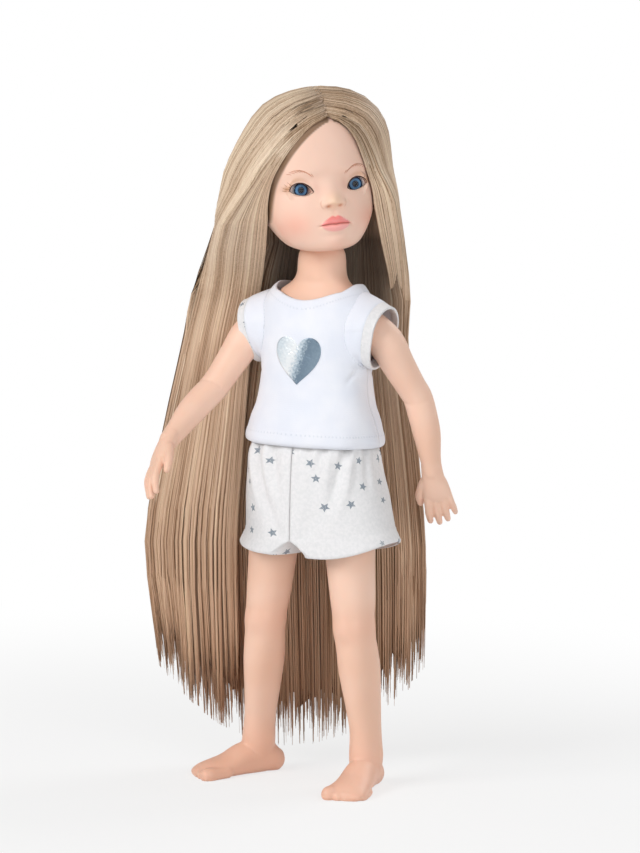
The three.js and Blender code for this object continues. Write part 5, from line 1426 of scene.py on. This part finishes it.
edge = heart_outline(40)
share = np.linspace(1, 0.03, 22)[:, None, None]
spread = (edge[None] - [0, 2]) * share + [0, 2]
x, z = spread[..., 0], spread[..., 1] + 196
lift = creases(np.arcsin(x / 27), z)
crimp = 0.05 * np.sin(x * 2.1 + z * 3.3) * np.sin(z * 1.7 - x)
foot = on_top(x[:1], z[:1], lift[:1] - 0.25)
points, faces = loft(np.concatenate([foot, on_top(x, z, lift + 0.34 + crimp)]))
uv = np.concatenate([np.concatenate([spread[:1], spread]).reshape(-1, 2) / 23, [[0, 0], [0, 0]]])
heart = make_piece("foil_heart", points, faces, foil, "torso", uv=uv)
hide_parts("foil_print")

# Star cotton: an off-white woven cloth with small grey-blue stars strewn over it, each a little different.
stars = Finish("star_cotton")
spot = stars.node("ShaderNodeSeparateXYZ", {}, {0: stars.coordinates("UV")}, "X")
warp, weft = spot, spot.other("Y")
tile = 11.5
column, line = (warp / tile).math("FLOOR", warp / tile), (weft / tile).math("FLOOR", weft / tile)
lot_of_tile = stars.node("ShaderNodeCombineXYZ", {}, {0: column, 1: line, 2: 3.7})
chance = stars.node("ShaderNodeTexWhiteNoise", {"noise_dimensions": "3D"}, {"Vector": lot_of_tile}, "Color")
chance = stars.node("ShaderNodeSeparateColor", {}, {0: chance}, "Red")
shift_x, shift_y = chance.other("Green"), chance.other("Blue")
star_x = warp - (column + 0.5) * tile - (shift_x - 0.5) * 6
star_y = weft - (line + 0.5) * tile - (shift_y - 0.5) * 6
size = chance * 0.75 + 1.6
reach = (star_x * star_x + star_y * star_y) ** 0.5
turned = stars.node("ShaderNodeMath", {"operation": "ARCTAN2"}, {0: star_x, 1: star_y}) + shift_x * 1.3 + 7.0
fold = turned.math("PINGPONG", turned, math.pi / 5)
tip_x = reach * fold.math("COSINE", fold)
tip_y = reach * fold.sin()
inside = (tip_x * 0.264 + tip_y * 0.636) / size
star = inside.within(0.285, 0.255) * chance.within(0.16, 0.2)
weave = (warp * (2 * math.pi / 0.42)).sin() * (weft * (2 * math.pi / 0.42)).sin()
slub = stars.noise(stars.coordinates(), 700.0, 3.0)
worn = stars.noise(stars.coordinates(), 1800.0, 2.0).within(0.25, 0.6)
ground = stars.mixed(slub.within(0.3, 0.7), paint(232, 232, 233), paint(240, 239, 240))
star_cotton = stars.surface({
    "Base Color": stars.mixed(star * (worn * 0.35 + 0.6), ground, paint(128, 140, 152)),
    "Roughness": slub * 0.1 + 0.82,
    "Normal": stars.bumps(weave * 0.5 + slub, 0.00009, 0.5),
    "Sheen Weight": 0.15,
    "Specular IOR Level": 0.2,
})


# Sleeves: a cap of the top's knit goes on over each shoulder, and a star cotton band edges its opening. They
#  stand off the arm a little and hang lower under it.
def sleeve(side):
    """The cap and the band of a sleeve, each as points, faces, uv and area: rings run from the armhole's edge
    on the top to the opening, with an inner wall behind them, and the band stands a little proud."""
    turn = np.linspace(0, 2 * np.pi, 120, endpoint=False)
    up, front = np.sin(turn), np.cos(turn)
    z = armhole_middle + (armhole_half + 0.3) * up
    angle = np.pi / 2 - (armhole_turn + 0.03) * front
    seam = levels(top_rows, z, angle, 0.0)
    upright = np.cross(np.array([0, -1.0, 0]), shoulder_axis)
    upright = upright if upright[2] > 0 else -upright
    down = np.where(up < 0, 1, 0)
    rings = [seam]
    for along, ahead, above, below, puff in ((1.2, 13.4, 13.0, 17.4, 0.5), (3.6, 12.6, 12.0, 17.8, 0.5),
                                             (6.0, 11.9, 11.4, 18.0, 0.2), (7.4, 11.5, 11.2, 17.8, 0)):
        tall = np.where(down > 0, below, above)
        middle = shoulder_pivot + along * shoulder_axis
        ring = middle + front[:, None] * ahead * np.array([0, -1.0, 0]) + (up * tall)[:, None] * upright
        ring = ring - (0.16 * down * (-up) ** 3 * along)[:, None] * shoulder_axis
        rings.append(ring + (puff * 0.3 * np.sin(turn * 7 + along))[:, None] * np.array([0, 0, 0.5]))
    path = along_paths(np.stack(rings, 1), np.tile(np.linspace(0, 1, 32), (120, 1))).transpose(1, 0, 2)
    centre = shoulder_pivot + ((path - shoulder_pivot) @ shoulder_axis)[..., None] * shoulder_axis
    inward = unit(centre - path)
    made = []
    for low, high, proud in ((0, 15, 0.0), (14, 32, 0.35)):
        outer = path[low:high] - inward[low:high] * proud
        inner = path[low:high] + inward[low:high] * cloth
        both = np.concatenate([outer, inner[::-1]])
        gaps = np.linalg.norm(np.diff(outer, axis=0, prepend=outer[:1]), axis=-1)
        length = np.cumsum(gaps, 0)
        length = np.concatenate([length, length[::-1]])
        round_arm = np.broadcast_to(turn * 15 + side * 31, length.shape)
        uv = np.stack([round_arm, length + 5.5], -1).reshape(-1, 2)
        faces = grid_faces(len(both) + 1, 120, True) % (len(both) * 120)
        around = np.linalg.norm(np.roll(outer, -1, 1) - outer, axis=-1)
        area = (around[1:] * gaps[1:]).sum() * MM**2
        made.append((both.reshape(-1, 3) * [side, 1, 1], [faces], uv, area))
    return made


for side in (1, -1):
    for (points, faces, uv, area), name, fabric, slot, flat_size in zip(
            sleeve(side), ("sleeve_yoke_", "sleeve_band_"), (knit, star_cotton), ("knit", "star_cotton"),
            ((0.096, 0.0105), (0.09, 0.0105))):
        tone = np.tile([0.5, 0, 0, 1.0], (len(points), 1))
        made = make_piece(name + side_name[side], points, faces, fabric, uv=uv, tone=tone)
        if fabric is star_cotton:
            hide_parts("sleeve_cuff_" + side_name[side])
        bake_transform(made)
        float(np.clip(area, 0.31 * flat_size[0] * flat_size[1], flat_size[0] * flat_size[1]))

# Shorts: two halves of star cotton, gathered on an elastic at the waist and joined at the centre seam. They
#  flare over the thighs to a turned-up hem.
shorts_rows = np.array([
    # height, half width, half depth
    [107, 39, 21], [111.3, 37.3, 21], [113.5, 36.5, 21.3], [122.5, 35.5, 21.6], [133, 34.5, 21.6],
    [144, 32.5, 21.3], [152, 31.2, 20.8], [158, 29.4, 19.6], [166, 28.6, 19.2],
])
shorts_skew = 4
crotch = 113.5
leg_turn = 10


def gathers(angle, z, side):
    """The folds of the gathered waist: many fine ones that die away down the cloth, and a few deep ones that
    start under the hem of the top and slant towards the inner thigh."""
    fine = 0.5 * np.sin(angle * 17 + 1.6 * np.sin(angle * 3)) * smooth(z, 136, 156)
    deep = np.zeros(np.broadcast(angle, z).shape)
    for start, slant, low, amount, wide in ((0.42, -0.25, 136, 1.5, 0.075), (0.86, -0.42, 128, 1.7, 0.09),
                                            (1.3, -0.2, 140, 1.1, 0.08), (2.2, 0.3, 132, 1.4, 0.1),
                                            (2.75, 0.15, 138, 1.2, 0.08)):
        line = start + slant * (160 - z) / 30 + 0.05 * side
        hollow = np.exp(-(((angle - line) / wide) ** 2))
        ridge = np.exp(-(((angle - line - 2 * wide) / wide) ** 2))
        deep = deep - amount * hollow * smooth(z, low - 12, low + 14)
        deep = deep + 0.6 * amount * ridge * smooth(z, low - 12, low + 14)
    thigh = -0.8 * np.exp(-(((angle - 0.12 - (z - crotch) * 0.012) / 0.1) ** 2))
    thigh = thigh * smooth(z, 146, 122) * smooth(z, 108, 118)
    return (fine + deep + thigh) * smooth(angle, 0, 0.12) * smooth(angle, np.pi, np.pi - 0.12)


def shorts_point(side, angle, z, grow, hem_low):
    """Points of a half of the shorts, from the front seam at angle 0 round the thigh to the back one."""
    dense = through(shorts_rows, np.linspace(0, 1, 500))
    wide, deep = (np.interp(z, dense[:, 0], dense[:, k]) for k in (1, 2))
    wide = wide + side * shorts_skew * np.clip((150 - z) / 36.5, 0, 1)
    turn = leg_turn * np.clip((crotch - z) / 6.5, 0, 1) ** 0.9
    s, c = rounded(np.sin(angle), 2.3), rounded(np.cos(angle), 2.3)
    fold = gathers(angle, z, side) + grow
    lift = hem_low * np.sin(angle) ** 2 * np.clip((150 - z) / 43, 0, 1)
    x = 0.18 + turn + (wide - turn + fold) * s
    return np.stack(np.broadcast_arrays(side * x, 1 - (deep + fold) * c, z + lift), -1)


for side, hem_lift in ((1, 8.0), (-1, 3.5)):
    name = side_name[side]
    angle = np.linspace(0, np.pi, 150)[None, :]
    z = np.linspace(106.4, 166, 110)[:, None]
    hem = 0.25 * smooth(z, 114.6, 114.0) - 0.5 * smooth(z, 107.6, 106.4)
    outer = shorts_point(side, angle, z, hem, hem_lift)
    inner = shorts_point(side, angle, z, hem - cloth, hem_lift)
    points, faces = shell(outer, inner)
    spot = np.stack(np.broadcast_arrays(angle * 27 + 40 * side + 60, z - 100), -1)
    uv = both_sides(spot)
    inseam_rows = []
    for grow in (0.0, cloth):
        across = np.linspace(0, 1, 40)[None, :]
        up = np.linspace(106.4, crotch + 0.4, 16)[:, None]
        turn = leg_turn * np.clip((crotch - up) / 6.5, 0, 1) ** 0.9
        under = 0.18 + turn - (turn - turn * 0.24) * np.sin(np.pi * across) + grow
        deep = np.interp(up, shorts_rows[:, 0], shorts_rows[:, 2]) - 0.1
        depth = 1 - deep * np.cos(np.pi * across)
        inseam_rows.append(np.stack(np.broadcast_arrays(side * under, depth, up), -1))
    inseam_points, inseam_faces = shell(*inseam_rows)
    inseam_faces = outward(inseam_points, inseam_faces)
    faces = outward(points, faces) + [f + len(points) for f in inseam_faces]
    inseam_uv = both_sides(np.stack(np.broadcast_arrays(across * 42 + 200, up - 100), -1))
    half = make_piece("shorts_cotton_" + name, np.concatenate([points, inseam_points]), faces, star_cotton,
                      uv=np.concatenate([uv, inseam_uv]), closed=False)
    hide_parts("shorts_" + name)
    name + "_leg"
    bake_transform(half)

# Elastic: a woven band in the shorts' waist, hidden under the top.
rubber = Finish("elastic")
woven = rubber.noise(rubber.coordinates(), 1500.0, 2.0)
elastic_tint = rubber.mixed(woven, paint(224, 224, 218), paint(242, 242, 236))
elastic_cloth = rubber.surface({"Base Color": elastic_tint, "Roughness": woven * 0.1 + 0.75})
angle = np.linspace(0, 2 * np.pi, 160, endpoint=False)[None, :]
bands = [levels(torso_rows, np.linspace(low, high, 8)[:, None], angle, grow)
         for grow, low, high in ((1.0, 160.2, 164.8), (0.35, 164.8, 160.2))]
rings = np.concatenate(bands)
points = rings.reshape(-1, 3)
faces = grid_faces(17, 160, True) % (16 * 160)
band = make_piece("elastic_band", points, [faces], elastic_cloth, "torso")
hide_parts("waist_elastic")
